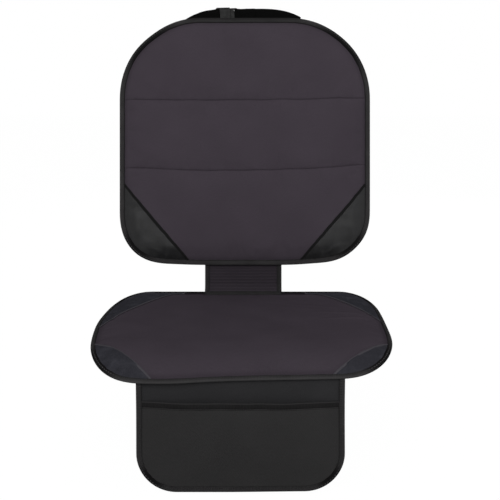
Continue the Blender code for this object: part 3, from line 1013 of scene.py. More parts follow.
def add_to_mat(obj: bpy.types.Object, finish: Finish, slot: str, *nodes: str) -> None:
    """Dresses a piece and fixes it to the mat.

    Args:
        obj: the finished piece.
        finish: its finish.
        slot: the record's material slot that the finish stands for; not used.
        *nodes: the solids that the piece stands for.
    """
    obj.data.materials.append(material_of(finish))
    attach(obj, BODY)
    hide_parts(*nodes)
    LOG.info("%s: %d faces", obj.name, len(obj.data.polygons))


class Swell:
    """How far a panel's cloth rises between its sewn lines, from a short cloth simulation."""

    def __init__(self, columns: Array, rows: Array, moves: Array) -> None:
        """Keeps the grid's lines and the move at each crossing."""
        self.columns = columns
        self.rows = rows
        self.moves = moves

    @classmethod
    def simulate(cls, name: str, columns: Array, rows: Array, heights: Array, held: Array, cap: float,
                 pressure: float = 4.0, slack: float = 0.012, frames: int = 20) -> "Swell":
        """Blows the cloth up from inside with its sewn lines held.

        Args:
            name: name for the helper mesh.
            columns: x of the grid's columns.
            rows: y of the grid's rows.
            heights: height of each vertex before.
            held: 1 where the cloth is sewn down, 0 where it is free.
            cap: most that a place may move.
            pressure: pressure inside the pad.
            slack: share by which the cloth is longer than its bed.
            frames: steps of the simulation.

        Returns:
            The moves on the grid.
        """
        obj = make_object(name, make_grid(columns, rows))
        start = read_places(obj.data)
        start[:, 2] = heights
        obj.data.vertices.foreach_set("co", start.ravel())
        pins = obj.vertex_groups.new(name="sewn")
        for index, weight in enumerate(held):
            if weight > 0.01:
                pins.add([index], float(weight), "REPLACE")
        cloth = obj.modifiers.new("cloth", "CLOTH")
        settings = cloth.settings
        settings.quality = 6
        settings.vertex_group_mass = "sewn"
        settings.use_pressure = True
        settings.uniform_pressure_force = pressure
        settings.shrink_min = -slack
        settings.bending_stiffness = 1.2
        settings.effector_weights.gravity = 0
        cloth.point_cache.frame_start = 1
        cloth.point_cache.frame_end = frames
        scene = bpy.context.scene
        for frame in range(1, frames + 1):
            scene.frame_set(frame)
        shown = obj.evaluated_get(bpy.context.evaluated_depsgraph_get())
        moves = read_places(shown.data) - start
        length = np.linalg.norm(moves, axis=1, keepdims=True)
        moves *= np.tanh(length / cap) * cap / np.maximum(length, 1e-9)
        scene.frame_set(1)
        bpy.data.objects.remove(obj, do_unlink=True)
        LOG.info("%s: largest move %.1f mm", name, 1000 * float(length.max()))
        return cls(columns, rows, moves.reshape(len(rows), len(columns), 3))

    def at(self, x: Array, y: Array) -> Array:
        """Reads the moves between the grid's lines with a smooth spline.

        Args:
            x: places across the panel.
            y: places along the panel.

        Returns:
            Rows of moves in x, y and height.
        """
        total = np.zeros((len(x), 3))
        weights = []
        for values, lines in ((x, self.columns), (y, self.rows)):
            place = (values - lines[0]) / (lines[1] - lines[0])
            cell = np.floor(place).astype(int)
            t = place - cell
            cubic = ((1 - t) ** 3 / 6, (3 * t ** 3 - 6 * t ** 2 + 4) / 6,
                     (-3 * t ** 3 + 3 * t ** 2 + 3 * t + 1) / 6, t ** 3 / 6)
            weights.append([(np.clip(cell + step - 1, 0, len(lines) - 1), cubic[step]) for step in range(4)])
        for column, weight_x in weights[0]:
            for row, weight_y in weights[1]:
                total += self.moves[row, column] * (weight_x * weight_y)[:, None]
        return total


@dataclass(frozen=True)
class Seam:
    """A quilting seam across the back panel, slightly bowed and tilted as it was sewn."""

    height: float
    tilt: float
    bow: float
    depth: float = 0.0022
    spread: float = 0.0036

    def centre(self, x: Array, half: float) -> Array:
        """Returns the seam's y at places across a panel of the given half width."""
        share = x / half
        return (self.height + self.tilt * share + self.bow * share ** 2
                + 0.0007 * drift(x, np.zeros_like(x), 0.07, int(self.height * 1000)))


@dataclass
class PaddedPanel:
    """A padded panel: the swollen pad, its lining, its binding tape and its corner patches."""

    name: str
    plan: Plan
    frame: Frame
    seams: tuple[Seam, ...] = ()
    folds: tuple[Fold, ...] = ()
    pitch: float = 0.0026
    edge_inset: float = EDGE_INSET
    rim_top: float = 0.0040
    rim_bottom: float = 0.0028
    crown_top: float = 0.0112
    slope_start: float = 0.0094
    slope_width: float = 0.0150
    swell_cap: float = 0.0028
    lining_thickness: float = 0.001
    lining_rim: float = 0.0015
    lining_pitch: float = 0.005
    swell_pitch: float = 0.0062
    seam_steps: tuple[float, ...] = (0.0, 0.0005, 0.0011, 0.0018, 0.0028, 0.0042, 0.0060)
    flatness: float = 0.00035
    swell: Optional[Swell] = field(default=None, repr=False)

    def seam_gap(self, x: Array, y: Array) -> Array:
        """Returns the signed distance from the nearest seam, or 1 where there is none."""
        gap = np.ones_like(x)
        for seam in self.seams:
            here = y - seam.centre(x, self.plan.width / 2)
            gap = np.where(np.abs(here) < np.abs(gap), here, gap)
        return gap

    def top(self, x: Array, y: Array) -> Array:
        """Works out the face cloth's places.

        Args:
            x: places across the flat panel.
            y: places along the flat panel.

        Returns:
            Rows of x, y and height in the panel's frame, with the swelling in them.
        """
        inside = self.plan.rim_distance(x, y)
        share = np.clip((inside - self.slope_start) / self.slope_width, 0.0, 1.0)
        rise = np.sin(share * math.pi / 2) ** 0.85
        height = self.rim_top + (self.crown_top - self.rim_top) * rise
        points = np.column_stack((x, y, height))
        if self.swell is not None:
            points = points + self.swell.at(x, y)
        else:
            points[:, 2] += 0.6 * self.swell_cap * smooth_step(0.012, 0.10, inside)
        free = smooth_step(0.014, 0.04, inside)
        points[:, 2] += self.flatness * free * drift(x, y, 0.075, 11)
        for fold in self.folds:
            points[:, 2] += fold.lift(x, y) * free
        for seam in self.seams:
            gap = np.abs(y - seam.centre(x, self.plan.width / 2))
            points[:, 2] -= seam.depth * rise * np.exp(-gap / seam.spread * 1.6)
            ease = np.exp(-((gap / 0.012) ** 2)) * (1 - np.exp(-gap / 0.003))
            points[:, 2] += 0.00035 * ease * free * drift(x, y * 0.25, 0.013, 29)
        return points

    def run_swell(self) -> None:
        half = self.plan.width / 2
        columns = spaced(-half, half, self.swell_pitch)
        rows = spaced(self.plan.near, self.plan.far, self.swell_pitch)
        x, y = (grid.ravel() for grid in np.meshgrid(columns, rows))
        heights = self.top(x, y)[:, 2]
        held = 1 - smooth_step(0.012, 0.018, self.plan.rim_distance(x, y))
        for seam in self.seams:
            held = np.maximum(held, 1 - smooth_step(0.003, 0.007, np.abs(y - seam.centre(x, half))))
        self.swell = Swell.simulate(f"{self.name}_swell", columns, rows, heights, held, self.swell_cap)

    def mesh_rows(self) -> Array:
        """Returns the mesh rows, with close ones along each seam."""
        fixed = [self.plan.near + self.edge_inset, self.plan.far - self.edge_inset]
        for seam in self.seams:
            fixed += [seam.height + sign * step for step in self.seam_steps for sign in (-1, 1)]
        fixed = sorted(set(round(value, 6) for value in fixed))
        rows = [fixed[0]]
        for low, high in zip(fixed, fixed[1:]):
            rows += list(spaced(low, high, self.pitch)[1:]) if high - low > self.pitch else [high]
        return np.array(rows)

    def warp(self, places: Array) -> Array:
        """Bends the mesh rows so that they follow the seams."""
        if not self.seams:
            return places
        x, y, height = places.T
        still = np.zeros_like(x)
        knots = [self.plan.near, *(seam.height for seam in self.seams), self.plan.far]
        shifts = [still, *(seam.centre(x, self.plan.width / 2) - seam.height for seam in self.seams), still]
        moved = y.copy()
        for low, high, first, last in zip(knots, knots[1:], shifts, shifts[1:]):
            share = (y - low) / (high - low)
            moved = np.where((share >= 0) & (share <= 1), y + first + (last - first) * share, moved)
        return np.column_stack((x, moved, height))

    def trimmed(self, name: str, pitch: float) -> bpy.types.Object:
        """Makes a flat sheet with the panel's rounded plan, with a given distance between its columns."""
        half = self.plan.width / 2 - self.edge_inset
        bm = make_grid(spaced(-half, half, pitch), self.mesh_rows())
        places = self.warp(np.array([vert.co[:] for vert in bm.verts]))
        for vert, place in zip(bm.verts, places):
            vert.co = place
        self.plan.trim(bm, self.edge_inset)
        bmesh.ops.remove_doubles(bm, verts=[vert for vert in bm.verts if vert.is_boundary], dist=0.0004)
        return make_object(name, bm)

    def lay(self, obj: bpy.types.Object, height: Callable[[Array, Array], Array]) -> None:
        """Marks a flat sheet for its cloth and lays it in the mat's frame.

        Args:
            obj: the flat sheet.
            height: gives rows of x, y and height from the flat rows and their distances from the edge.
        """
        flat = read_places(obj.data)
        x, y = flat[:, 0].copy(), flat[:, 1].copy()
        inside = self.plan.rim_distance(x, y)
        write_cloth_map(obj.data, flat[:, :2])
        write_value(obj.data, RIM, inside)
        write_value(obj.data, SEAM, self.seam_gap(x, y))
        obj.data.vertices.foreach_set("co", self.frame.place(height(flat, inside)).ravel())

    def make_pad(self) -> bpy.types.Object:
        """Makes the closed pad: the face cloth over its foam."""
        obj = self.trimmed(f"{self.name}_pad", self.pitch)
        with edited(obj) as bm:
            for vert in bm.verts:
                vert.co.z = 1.0
            rim = [edge for edge in bm.edges if edge.is_boundary]
            below = bmesh.ops.extrude_edge_only(bm, edges=rim)["geom"]
            for vert in (item for item in below if isinstance(item, bmesh.types.BMVert)):
                vert.co.z = 0.0
            fill_open_ends(bm)
            if isinstance(self.frame, DrapedFrame):
                for distance in np.arange(self.frame.twist_start, self.frame.depth, 0.02):
                    base = (face for face in bm.faces if all(vert.co.z < 0.5 for vert in face.verts))
                    bmesh.ops.bisect_plane(bm, geom=with_borders(base), dist=MERGE,
                                           plane_co=(0, -distance, 0), plane_no=(0, 1, 0))
            bmesh.ops.recalc_face_normals(bm, faces=bm.faces)

        def height(flat: Array, _: Array) -> Array:
            """Returns the face cloth's places, or the base's below it."""
            x, y, level = flat.T
            base = np.column_stack((x, y, np.full_like(x, self.rim_bottom)))
            return np.where(level[:, None] > 0.5, self.top(x, y), base)

        self.lay(obj, height)
        return obj

    def make_lining(self, name: str) -> bpy.types.Object:
        """Makes the sheet that closes the panel's underside, with its thickness."""
        obj = self.trimmed(name, self.lining_pitch)

        def height(flat: Array, inside: Array) -> Array:
            """Returns the lining's places, drawn up at the rim and along the seams."""
            x, y, _ = flat.T
            rise = self.lining_rim * (1 - smooth_step(0.0115, 0.021, inside))
            rise += 0.0003 * smooth_step(0.015, 0.05, inside) * (1 + drift(x, y, 0.06, 17))
            rise += 0.0008 * np.exp(-np.abs(self.seam_gap(x, y)) / 0.003) * smooth_step(0.010, 0.02, inside)
            return np.column_stack((x, y, rise))

        self.lay(obj, height)
        thicken(obj, self.lining_thickness)
        return obj


@dataclass
class CornerPatch:
    """A leatherette patch over a padded panel's corner, with a narrow trim along its diagonal edge."""

    panel: PaddedPanel
    side: Side
    at_far_end: bool
    legs: Pair
    folds: tuple[Fold, ...] = ()
    margin: float = 0.0088
    lift: float = 0.0003
    thickness: float = 0.0005
    trim_width: float = 0.0056
    trim_height: float = 0.0014
    columns: int = 90
    rows: int = 36

    def ends(self) -> tuple[Array, Array]:
        """Returns where the diagonal meets the panel's side and its end."""
        plan, sign = self.panel.plan, self.side.value
        end, inward = (plan.far, -1) if self.at_far_end else (plan.near, 1)
        along_side, along_end = self.legs
        return (np.array((sign * plan.width / 2, end + inward * along_side)),
                np.array((sign * (plan.width / 2 - along_end), end)))

    def edges(self) -> tuple[Array, Array]:
        """Finds the patch's curved outer edge and its diagonal.

        Returns:
            Matching places on the outer edge and on the diagonal, from the side to the end.
        """
        outline = self.panel.plan.outline()
        ring = outline.base + outline.inward * self.margin
        on_side, on_end = self.ends()
        along = (on_end - on_side) / np.linalg.norm(on_end - on_side)
        corner = np.array((on_side[0], on_end[1]))
        out = np.array((-along[1], along[0]))
        out = out * math.copysign(1, float((corner - on_side) @ out))
        ring = ring[:-1]
        beyond = (ring - on_side) @ out
        start = int(np.argmax((beyond > 0) & (np.roll(beyond, 1) <= 0)))
        beyond, ring = np.roll(beyond, -start), np.roll(ring, -start, axis=0)
        count = int(np.argmax(beyond <= 0))
        def crossing(a: int, b: int) -> Array:
            """Returns where the ring crosses the diagonal between two stations."""
            share = beyond[a] / (beyond[a] - beyond[b])
            return ring[a] + (ring[b] - ring[a]) * share

        curve = np.vstack((crossing(0, -1), ring[:count], crossing(count - 1, count)))
        if (curve[0] - on_side) @ along > (curve[-1] - on_side) @ along:
            curve = curve[::-1]
        steps = run_lengths(curve)
        shares = np.linspace(0, 1, self.columns + 1)
        return resample(curve, steps, shares * steps[-1]), curve[0] + (curve[-1] - curve[0]) * shares[:, None]

    def surface(self, flat: Array, lift: Array) -> Array:
        """Lays flat places on the pad and returns them in the mat's frame."""
        points = self.panel.top(flat[:, 0], flat[:, 1])
        points[:, 2] += lift
        return self.panel.frame.place(points)

    def make_patch(self, name: str) -> bpy.types.Object:
        """Makes the leatherette sheet with its thickness, its faces turned to the front of the panel."""
        outer, diagonal = self.edges()

        def shape(column: Array, row: Array) -> tuple[Array, Array]:
            """Lays the places between the diagonal and the outer edge."""
            i = np.rint(column).astype(int)
            flat = diagonal[i] + (outer[i] - diagonal[i]) * row[:, None]
            x, y = flat[:, 0], flat[:, 1]
            free = smooth_step(0.011, 0.02, self.panel.plan.rim_distance(x, y))
            crease = sum((fold.lift(x, y) for fold in self.folds), np.zeros_like(x))
            crease = crease + 0.0003 * (1 + drift(x, y, 0.03, 41 + self.side.value))
            return self.surface(flat, self.lift + np.maximum(crease, 0.0) * free), flat

        obj = make_sheet(name, np.arange(self.columns + 1.0), np.linspace(0, 1, self.rows + 1), shape)
        middle = self.panel.frame.place(np.array(((0.0, -0.2, 0.0), (0.0, -0.2, 1.0))))
        out = Vector(middle[1] - middle[0])
        with edited(obj) as bm:
            bm.normal_update()
            if sum(face.normal.dot(out) for face in bm.faces) < 0:
                bmesh.ops.reverse_faces(bm, faces=bm.faces)
        thicken(obj, self.thickness)
        return obj

    def make_trim(self, name: str) -> bpy.types.Object:
        """Makes the narrow folded tape on the diagonal edge."""
        _, diagonal = self.edges()
        first, last = diagonal[0], diagonal[-1]
        length = float(np.linalg.norm(last - first))
        along = (last - first) / length
        aside = np.array((-along[1], along[0]))

        def shape(column: Array, angle: Array) -> tuple[Array, Array]:
            """Lays the tape's rounded section along the diagonal."""
            thin = 1 - 0.25 * np.abs(2 * column - 1) ** 3
            across = np.cos(angle) * self.trim_width / 2 * thin
            across = across + 0.0003 * drift(column * length, 0 * column, 0.03, 5)
            flat = first + (last - first) * column[:, None] + aside * across[:, None]
            height = self.lift + self.trim_height * (0.5 + 0.5 * squared_off(np.sin(angle), 0.6))
            return self.surface(flat, height), np.column_stack((column * length, across))

        return make_tube(name, spaced(0, 1, 0.0022 / length), 14, shape)


@dataclass
class Connector:
    """The gathered cloth between the panels, with its side tapes and bottom hem."""

    frame: LeanFrame
    width: float = 0.1455
    shift: float = -0.0030
    high: float = 0.072
    front: float = -0.0016
    rear: float = -0.0030
    outer_front: float = -0.0003
    outer_rear: float = -0.0043
    tape_leg: float = 0.009
    hem_height: float = 0.008
    pleat_pitch: float = 0.0056
    pleat_height: float = 0.00035
    foot: float = 0.0095
    bottom: float = -0.0075

    def place(self, points: Array) -> Array:
        """Moves places to the mat's frame, with the foot bent forward in front of the seat's rear edge."""
        moved = points.copy()
        moved[:, 2] += self.foot * (1 - smooth_step(self.bottom, self.bottom + 0.022, points[:, 1]))
        return self.frame.place(moved)

    def make_cloth(self, name: str) -> bpy.types.Object:
        """Makes the pleated cloth."""
        half = self.width / 2 - EDGE_INSET

        def shape(x: Array, y: Array) -> tuple[Array, Array]:
            """Lays the cloth in pleats that fade at the tapes."""
            sag = 0.35 * drift(x, y * 0.4, 0.05, 8)
            wave = np.sin(2 * math.pi * y / self.pleat_pitch + sag)
            free = smooth_step(0.0, 0.010, half - np.abs(x)) * smooth_step(0.004, 0.012, y - self.bottom)
            depth = (self.front + self.rear) / 2 + self.pleat_height * wave * free
            return self.place(np.column_stack((x + self.shift, y, depth))), np.column_stack((x, y))

        obj = make_sheet(name, spaced(-half, half, 0.0025),
                         spaced(self.bottom + EDGE_INSET, self.high, 0.0007), shape)
        thicken(obj, 0.0009, 0.0)
        return obj

    def make_edge(self, name: str, base: Array, inward: Pair, leg: float, grow: float,
                  puff: float) -> bpy.types.Object:
        """Folds a straight tape over one edge of the cloth.

        Args:
            name: the piece's name.
            base: places along the edge.
            inward: direction into the cloth.
            leg: width of each leg.
            grow: how much further the tape stands out than the side tapes.
            puff: how much its legs swell.

        Returns:
            The tape, closed at both ends.
        """
        section = TapeSection(leg, self.outer_rear - grow, self.outer_front + grow, thickness=0.0008,
                              puff=puff, wave=0.0002, pucker=0.0001)
        outline = Outline(base, np.tile(inward, (len(base), 1)).astype(float), np.zeros(len(base)))
        return sweep_tape(name, outline, section, self, False)

    def make_side(self, name: str, side: Side) -> bpy.types.Object:
        """Makes the tape on one side."""
        stations = spaced(self.bottom + self.hem_height - 0.001, self.high, 0.0025)[::side.value]
        base = np.column_stack((np.full_like(stations, self.shift + side.value * self.width / 2), stations))
        return self.make_edge(name, base, (-side.value, 0.0), self.tape_leg, 0.0, 0.0002)

    def make_hem(self, name: str) -> bpy.types.Object:
        """Makes the folded hem along the bottom."""
        stations = self.shift + spaced(-self.width / 2, self.width / 2, 0.003)
        base = np.column_stack((stations, np.full_like(stations, self.bottom)))
        return self.make_edge(name, base, (0.0, 1.0), self.hem_height, 0.0001, 0.0003)


@dataclass
class PocketFlap:
    """The hanging flap, with its bellied pocket, the tape on the pocket's mouth and the binding."""

    frame: LeanFrame
    width: float = 0.305
    height: float = 0.168
    radius: float = 0.059
    tape_leg: float = 0.0085
    pocket_base: float = 0.0018
    pocket_height: float = 0.1381
    hem_height: float = 0.0118
    belly_depth: float = 0.014
    margin: float = 0.0045
    twist: float = 0.0195
    tuck: float = 0.0030
    flare: float = 0.009
    skew: float = 0.0013
    seat_slope: float = math.radians(29)

    def place(self, points: Array) -> Array:
        """Moves places to the mat's frame, with the bare top strip following the seat's lifted edge."""
        raised = points.copy()
        meet = self.tuck - math.tan(self.seat_slope) * points[:, 2]
        down = -points[:, 1]
        raised[:, 1] += meet * (1 - smooth_step(0.0, 0.012, down))
        raised[:, 1] += self.skew * smooth_step(-0.03, 0.12, points[:, 0]) * smooth_step(0.06, 0.15, down)
        raised[:, 0] *= 1 + self.flare * smooth_step(0.02, 0.15, down)
        placed = self.frame.place(raised)
        placed[:, 2] += self.twist * points[:, 0] * (1 - smooth_step(0.0, 0.030, down))
        return placed

    def path(self) -> Outline:
        """Returns the open path down the left side, along the bottom and up the right side."""
        round_plan = Plan(self.width, -self.height, 0.0, (self.radius,) * 2, (self.radius,) * 2,
                          corner_steps=22, side_step=0.004)
        full = round_plan.outline()
        base, inward, bend = full.base[:-1], full.inward[:-1], full.bend[:-1]
        low = base[:, 1] <= -self.height + self.radius + 1e-6
        start = int(np.argmax(low & ~np.roll(low, 1)))
        keep = np.roll(np.arange(len(base)), -start)[:int(low.sum())]
        rises = spaced(-self.height + self.radius, 0.0, 0.004)
        half = self.width / 2
        left = np.column_stack((np.full_like(rises, -half), rises))[:0:-1]
        right = np.column_stack((np.full_like(rises, half), rises))[1:]
        sides = np.tile((1.0, 0.0), (len(left), 1))
        return Outline(np.vstack((left, base[keep], right)), np.vstack((sides, inward[keep], -sides)),
                       np.concatenate((np.zeros(len(left)), bend[keep], np.zeros(len(right)))))

    def low_edge(self, x: Array, inset: float) -> Array:
        """Returns the height of the rounded bottom edge, moved inwards by inset."""
        radius = self.radius - inset
        past = np.maximum(np.abs(x) - (self.width / 2 - self.radius), 0.0)
        return -self.height + self.radius - np.sqrt(np.maximum(radius ** 2 - past ** 2, 0.0))

    def belly(self, x: Array, y: Array) -> Array:
        """Returns how far the pocket's cloth stands off the flap."""
        half = self.width / 2 - self.tape_leg - 0.0003
        floor = self.low_edge(x, self.tape_leg + self.margin)
        across = np.maximum(1 - (np.abs(x) / half) ** 2.5, 0.0)
        up = np.clip((y - floor) / (-self.height + self.pocket_height - floor), 0.0, 1.0)
        base = self.belly_depth * across * np.sin(up * math.pi / 2) ** 1.2
        waves = 0.0011 * drift(x, y * 0.35, 0.055, 23) * up ** 1.5 * across
        return np.maximum(base * 0.8 + waves, 0.0)

    def mouth(self, x: Array) -> Array:
        """Returns the wavy height of the pocket's mouth."""
        calm = np.maximum(1 - (np.abs(x) / (self.width / 2)) ** 4, 0.0)
        sag = 0.0012 * np.exp(-(((x + 0.085) / 0.022) ** 2)) + 0.0007 * np.exp(-(((x - 0.062) / 0.020) ** 2))
        return -self.height + self.pocket_height - calm * (sag + 0.0003 * drift(x, 0 * x, 0.04, 31))

    def rounded(self, across: Array, up: Array, depth: Callable[[Array, Array], Array],
                top: Callable[[Array], Array]) -> tuple[Array, Array]:
        """Maps a square onto the flap's rounded plan.

        Args:
            across: places from -1 to 1.
            up: places from 0 at the bottom to 1 at the top.
            depth: how far the cloth stands off the flap, from x and y.
            top: height of the upper edge from x.

        Returns:
            Places in the mat's frame and flat lengths.
        """
        x = (self.width / 2 - EDGE_INSET) * across
        low = self.low_edge(x, EDGE_INSET)
        y = low + (top(x) - low) * up
        return self.place(np.column_stack((x, y, depth(x, y)))), np.column_stack((x, y))

    def make_cloth(self, name: str) -> bpy.types.Object:
        """Makes the flap's own sheet."""
        def shape(across: Array, up: Array) -> tuple[Array, Array]:
            """Lays the flat sheet."""
            return self.rounded(across, up, lambda x, y: 0.0002 + 0 * x, np.zeros_like)

        obj = make_sheet(name, spaced(-1, 1, 0.02), spaced(0, 1, 0.02), shape)
        thicken(obj, 0.0012)
        return obj

    def make_pocket(self, name: str) -> bpy.types.Object:
        """Makes the pocket's bellied cloth."""
        def shape(across: Array, up: Array) -> tuple[Array, Array]:
            """Lays the cloth, with closer columns at its sides."""
            return self.rounded(np.sin(across * math.pi / 2), up,
                                lambda x, y: self.pocket_base + self.belly(x, y),
                                lambda x: self.mouth(x) - 0.0006)

        obj = make_sheet(name, spaced(-1, 1, 0.014), spaced(0, 1, 0.016), shape)
        thicken(obj, 0.0008)
        return obj

    def make_mouth_tape(self, name: str) -> bpy.types.Object:
        """Makes the tape folded over the pocket's mouth."""
        half = self.width / 2 - self.tape_leg + 0.001

        def shape(x: Array, angle: Array) -> tuple[Array, Array]:
            """Lays the tape's section, with a rolled fold and a dent along its stitches."""
            drop = (1 - np.sin(angle)) * (self.hem_height / 2)
            y = self.mouth(x) + 0.0006 - drop
            bulge = np.cos(angle) * 0.0011 * (1 + 0.5 * np.sin(angle))
            roll = 0.0005 * np.exp(-((drop / 0.0022) ** 2))
            dent = 0.0005 * np.exp(-(((drop - 0.0088) / 0.0012) ** 2)) * (np.cos(angle) > 0)
            centre = self.pocket_base + 0.0005 + self.belly(x, y)
            depth = centre + bulge + np.sign(np.cos(angle)) * roll - dent
            return self.place(np.column_stack((x, y, depth))), np.column_stack((x, self.hem_height + drop))

        return make_tube(name, spaced(-half, half, 0.0024), 20, shape)


@dataclass
class HeadrestStrap:
    """The webbing that closes around the headrest: two lengths, each looped round a bar of the buckle."""

    frame: LeanFrame
    top: float = BACK_TOP
    width: float = 0.025
    thickness: float = 0.0014
    end: float = 0.1372
    sink: float = 0.022
    rise: float = 0.0292
    shoulder: float = 3.0
    bow: float = 0.040
    start: float = -0.0555
    buckle_length: float = 0.0413
    buckle_drop: float = 0.0011
    slot_middle: float = 0.00475
    tail: float = 0.034

    def point(self, x: Array, across: Array) -> Array:
        """Returns places on the webbing's front face, across from 0 at its lower edge to 1."""
        share = np.minimum(np.abs(x) / self.end, 1.0)
        upper = self.top - self.sink + (self.sink + self.rise) * (1 - share ** self.shoulder)
        bow = self.bow * (1 - share ** 2) ** 1.5
        return np.column_stack((x, upper - self.width * (1 - across), -0.0003 - bow))

    @property
    def stop(self) -> float:
        """Returns the place across the panel where the buckle ends."""
        places = np.linspace(self.start, self.start + self.buckle_length, 400)
        points = self.point(places, np.full_like(places, 0.5))
        return float(np.interp(self.buckle_length, np.linalg.norm(points - points[0], axis=1), places))

    def route(self, bar_depth: float) -> Array:
        """Lays out the middle of the webbing near the buckle, from its sewn tail round the bar.

        Args:
            bar_depth: half the thickness of the buckle's bar.

        Returns:
            Rows of the distance into the buckle and the height off its middle, about 0.7 mm apart.
        """
        over, mid, lay = bar_depth + 0.0011, self.slot_middle, 0.00155
        knots = np.array((
            (-self.tail, lay), (-0.024, lay), (-0.013, lay), (-0.0075, lay + 0.25 * (over - lay)),
            (-0.0035, 0.78 * over), (-0.0005, 0.98 * over), (0.0018, over), (0.0036, 0.90 * over),
            (mid + 0.0017, 0.60 * over), (mid + 0.0007, 0.0), (mid - 0.0009, -0.55 * over),
            (0.0034, -0.90 * over), (0.0018, -over), (-0.0005, -0.98 * over),
            (-0.0035, -0.80 * over), (-0.0080, -0.30 * over), (-0.014, 0.0), (-0.024, 0.0)))
        lengths = run_lengths(knots)
        path = resample(knots, lengths, spaced(0.0, float(lengths[-1]), 0.0007))
        for _ in range(3):
            path[1:-1] = (path[:-2] + path[1:-1] + path[2:]) / 3
        return path

    def make_length(self, name: str, side: Side, bar_depth: float) -> bpy.types.Object:
        """Makes one length of webbing: tail, loop round the bar, and run to the panel.

        Args:
            name: the piece's name.
            side: the side of the buckle that it holds.
            bar_depth: half the thickness of the bar.

        Returns:
            The closed webbing.
        """
        path = self.route(bar_depth)
        root = self.start if side is Side.LEFT else self.stop
        away = side.value
        run = spaced(0.0247, self.end - abs(root), 0.0016)
        stations = np.vstack((path, np.column_stack((-run, np.zeros_like(run)))))
        steps = np.gradient(stations, axis=0)
        ends = self.point(np.array((self.start, self.stop)), np.array((0.5, 0.5)))
        along = (ends[1] - ends[0]) / np.linalg.norm(ends[1] - ends[0])
        out = np.cross(along, (0.0, 1.0, 0.0))
        out = out / np.linalg.norm(out)
        lengths = run_lengths(stations)

        def shape(station: Array, angle: Array) -> tuple[Array, Array]:
            """Lays the webbing's section along its route."""
            i = np.rint(station).astype(int)
            step = steps[i] / np.linalg.norm(steps[i], axis=1, keepdims=True)
            fat = self.thickness / 2 * squared_off(np.sin(angle), 0.55)
            share = 0.5 + 0.5 * squared_off(np.cos(angle), 0.55)
            into, lift = stations[i, 0] - step[:, 1] * fat, stations[i, 1] + step[:, 0] * fat
            inside = np.maximum(into, 0.0)[:, None] * along[None, :] * -away
            places = (self.point(root - away * np.minimum(into, 0.0), share) + inside
                      + out[None, :] * (lift - self.thickness / 2)[:, None])
            places[:, 1] -= self.buckle_drop * smooth_step(-0.020, -0.002, into)
            return self.frame.place(places), np.column_stack((lengths[i], share * self.width))

        return make_tube(name, np.arange(len(stations), dtype=float), 36, shape)


# The room


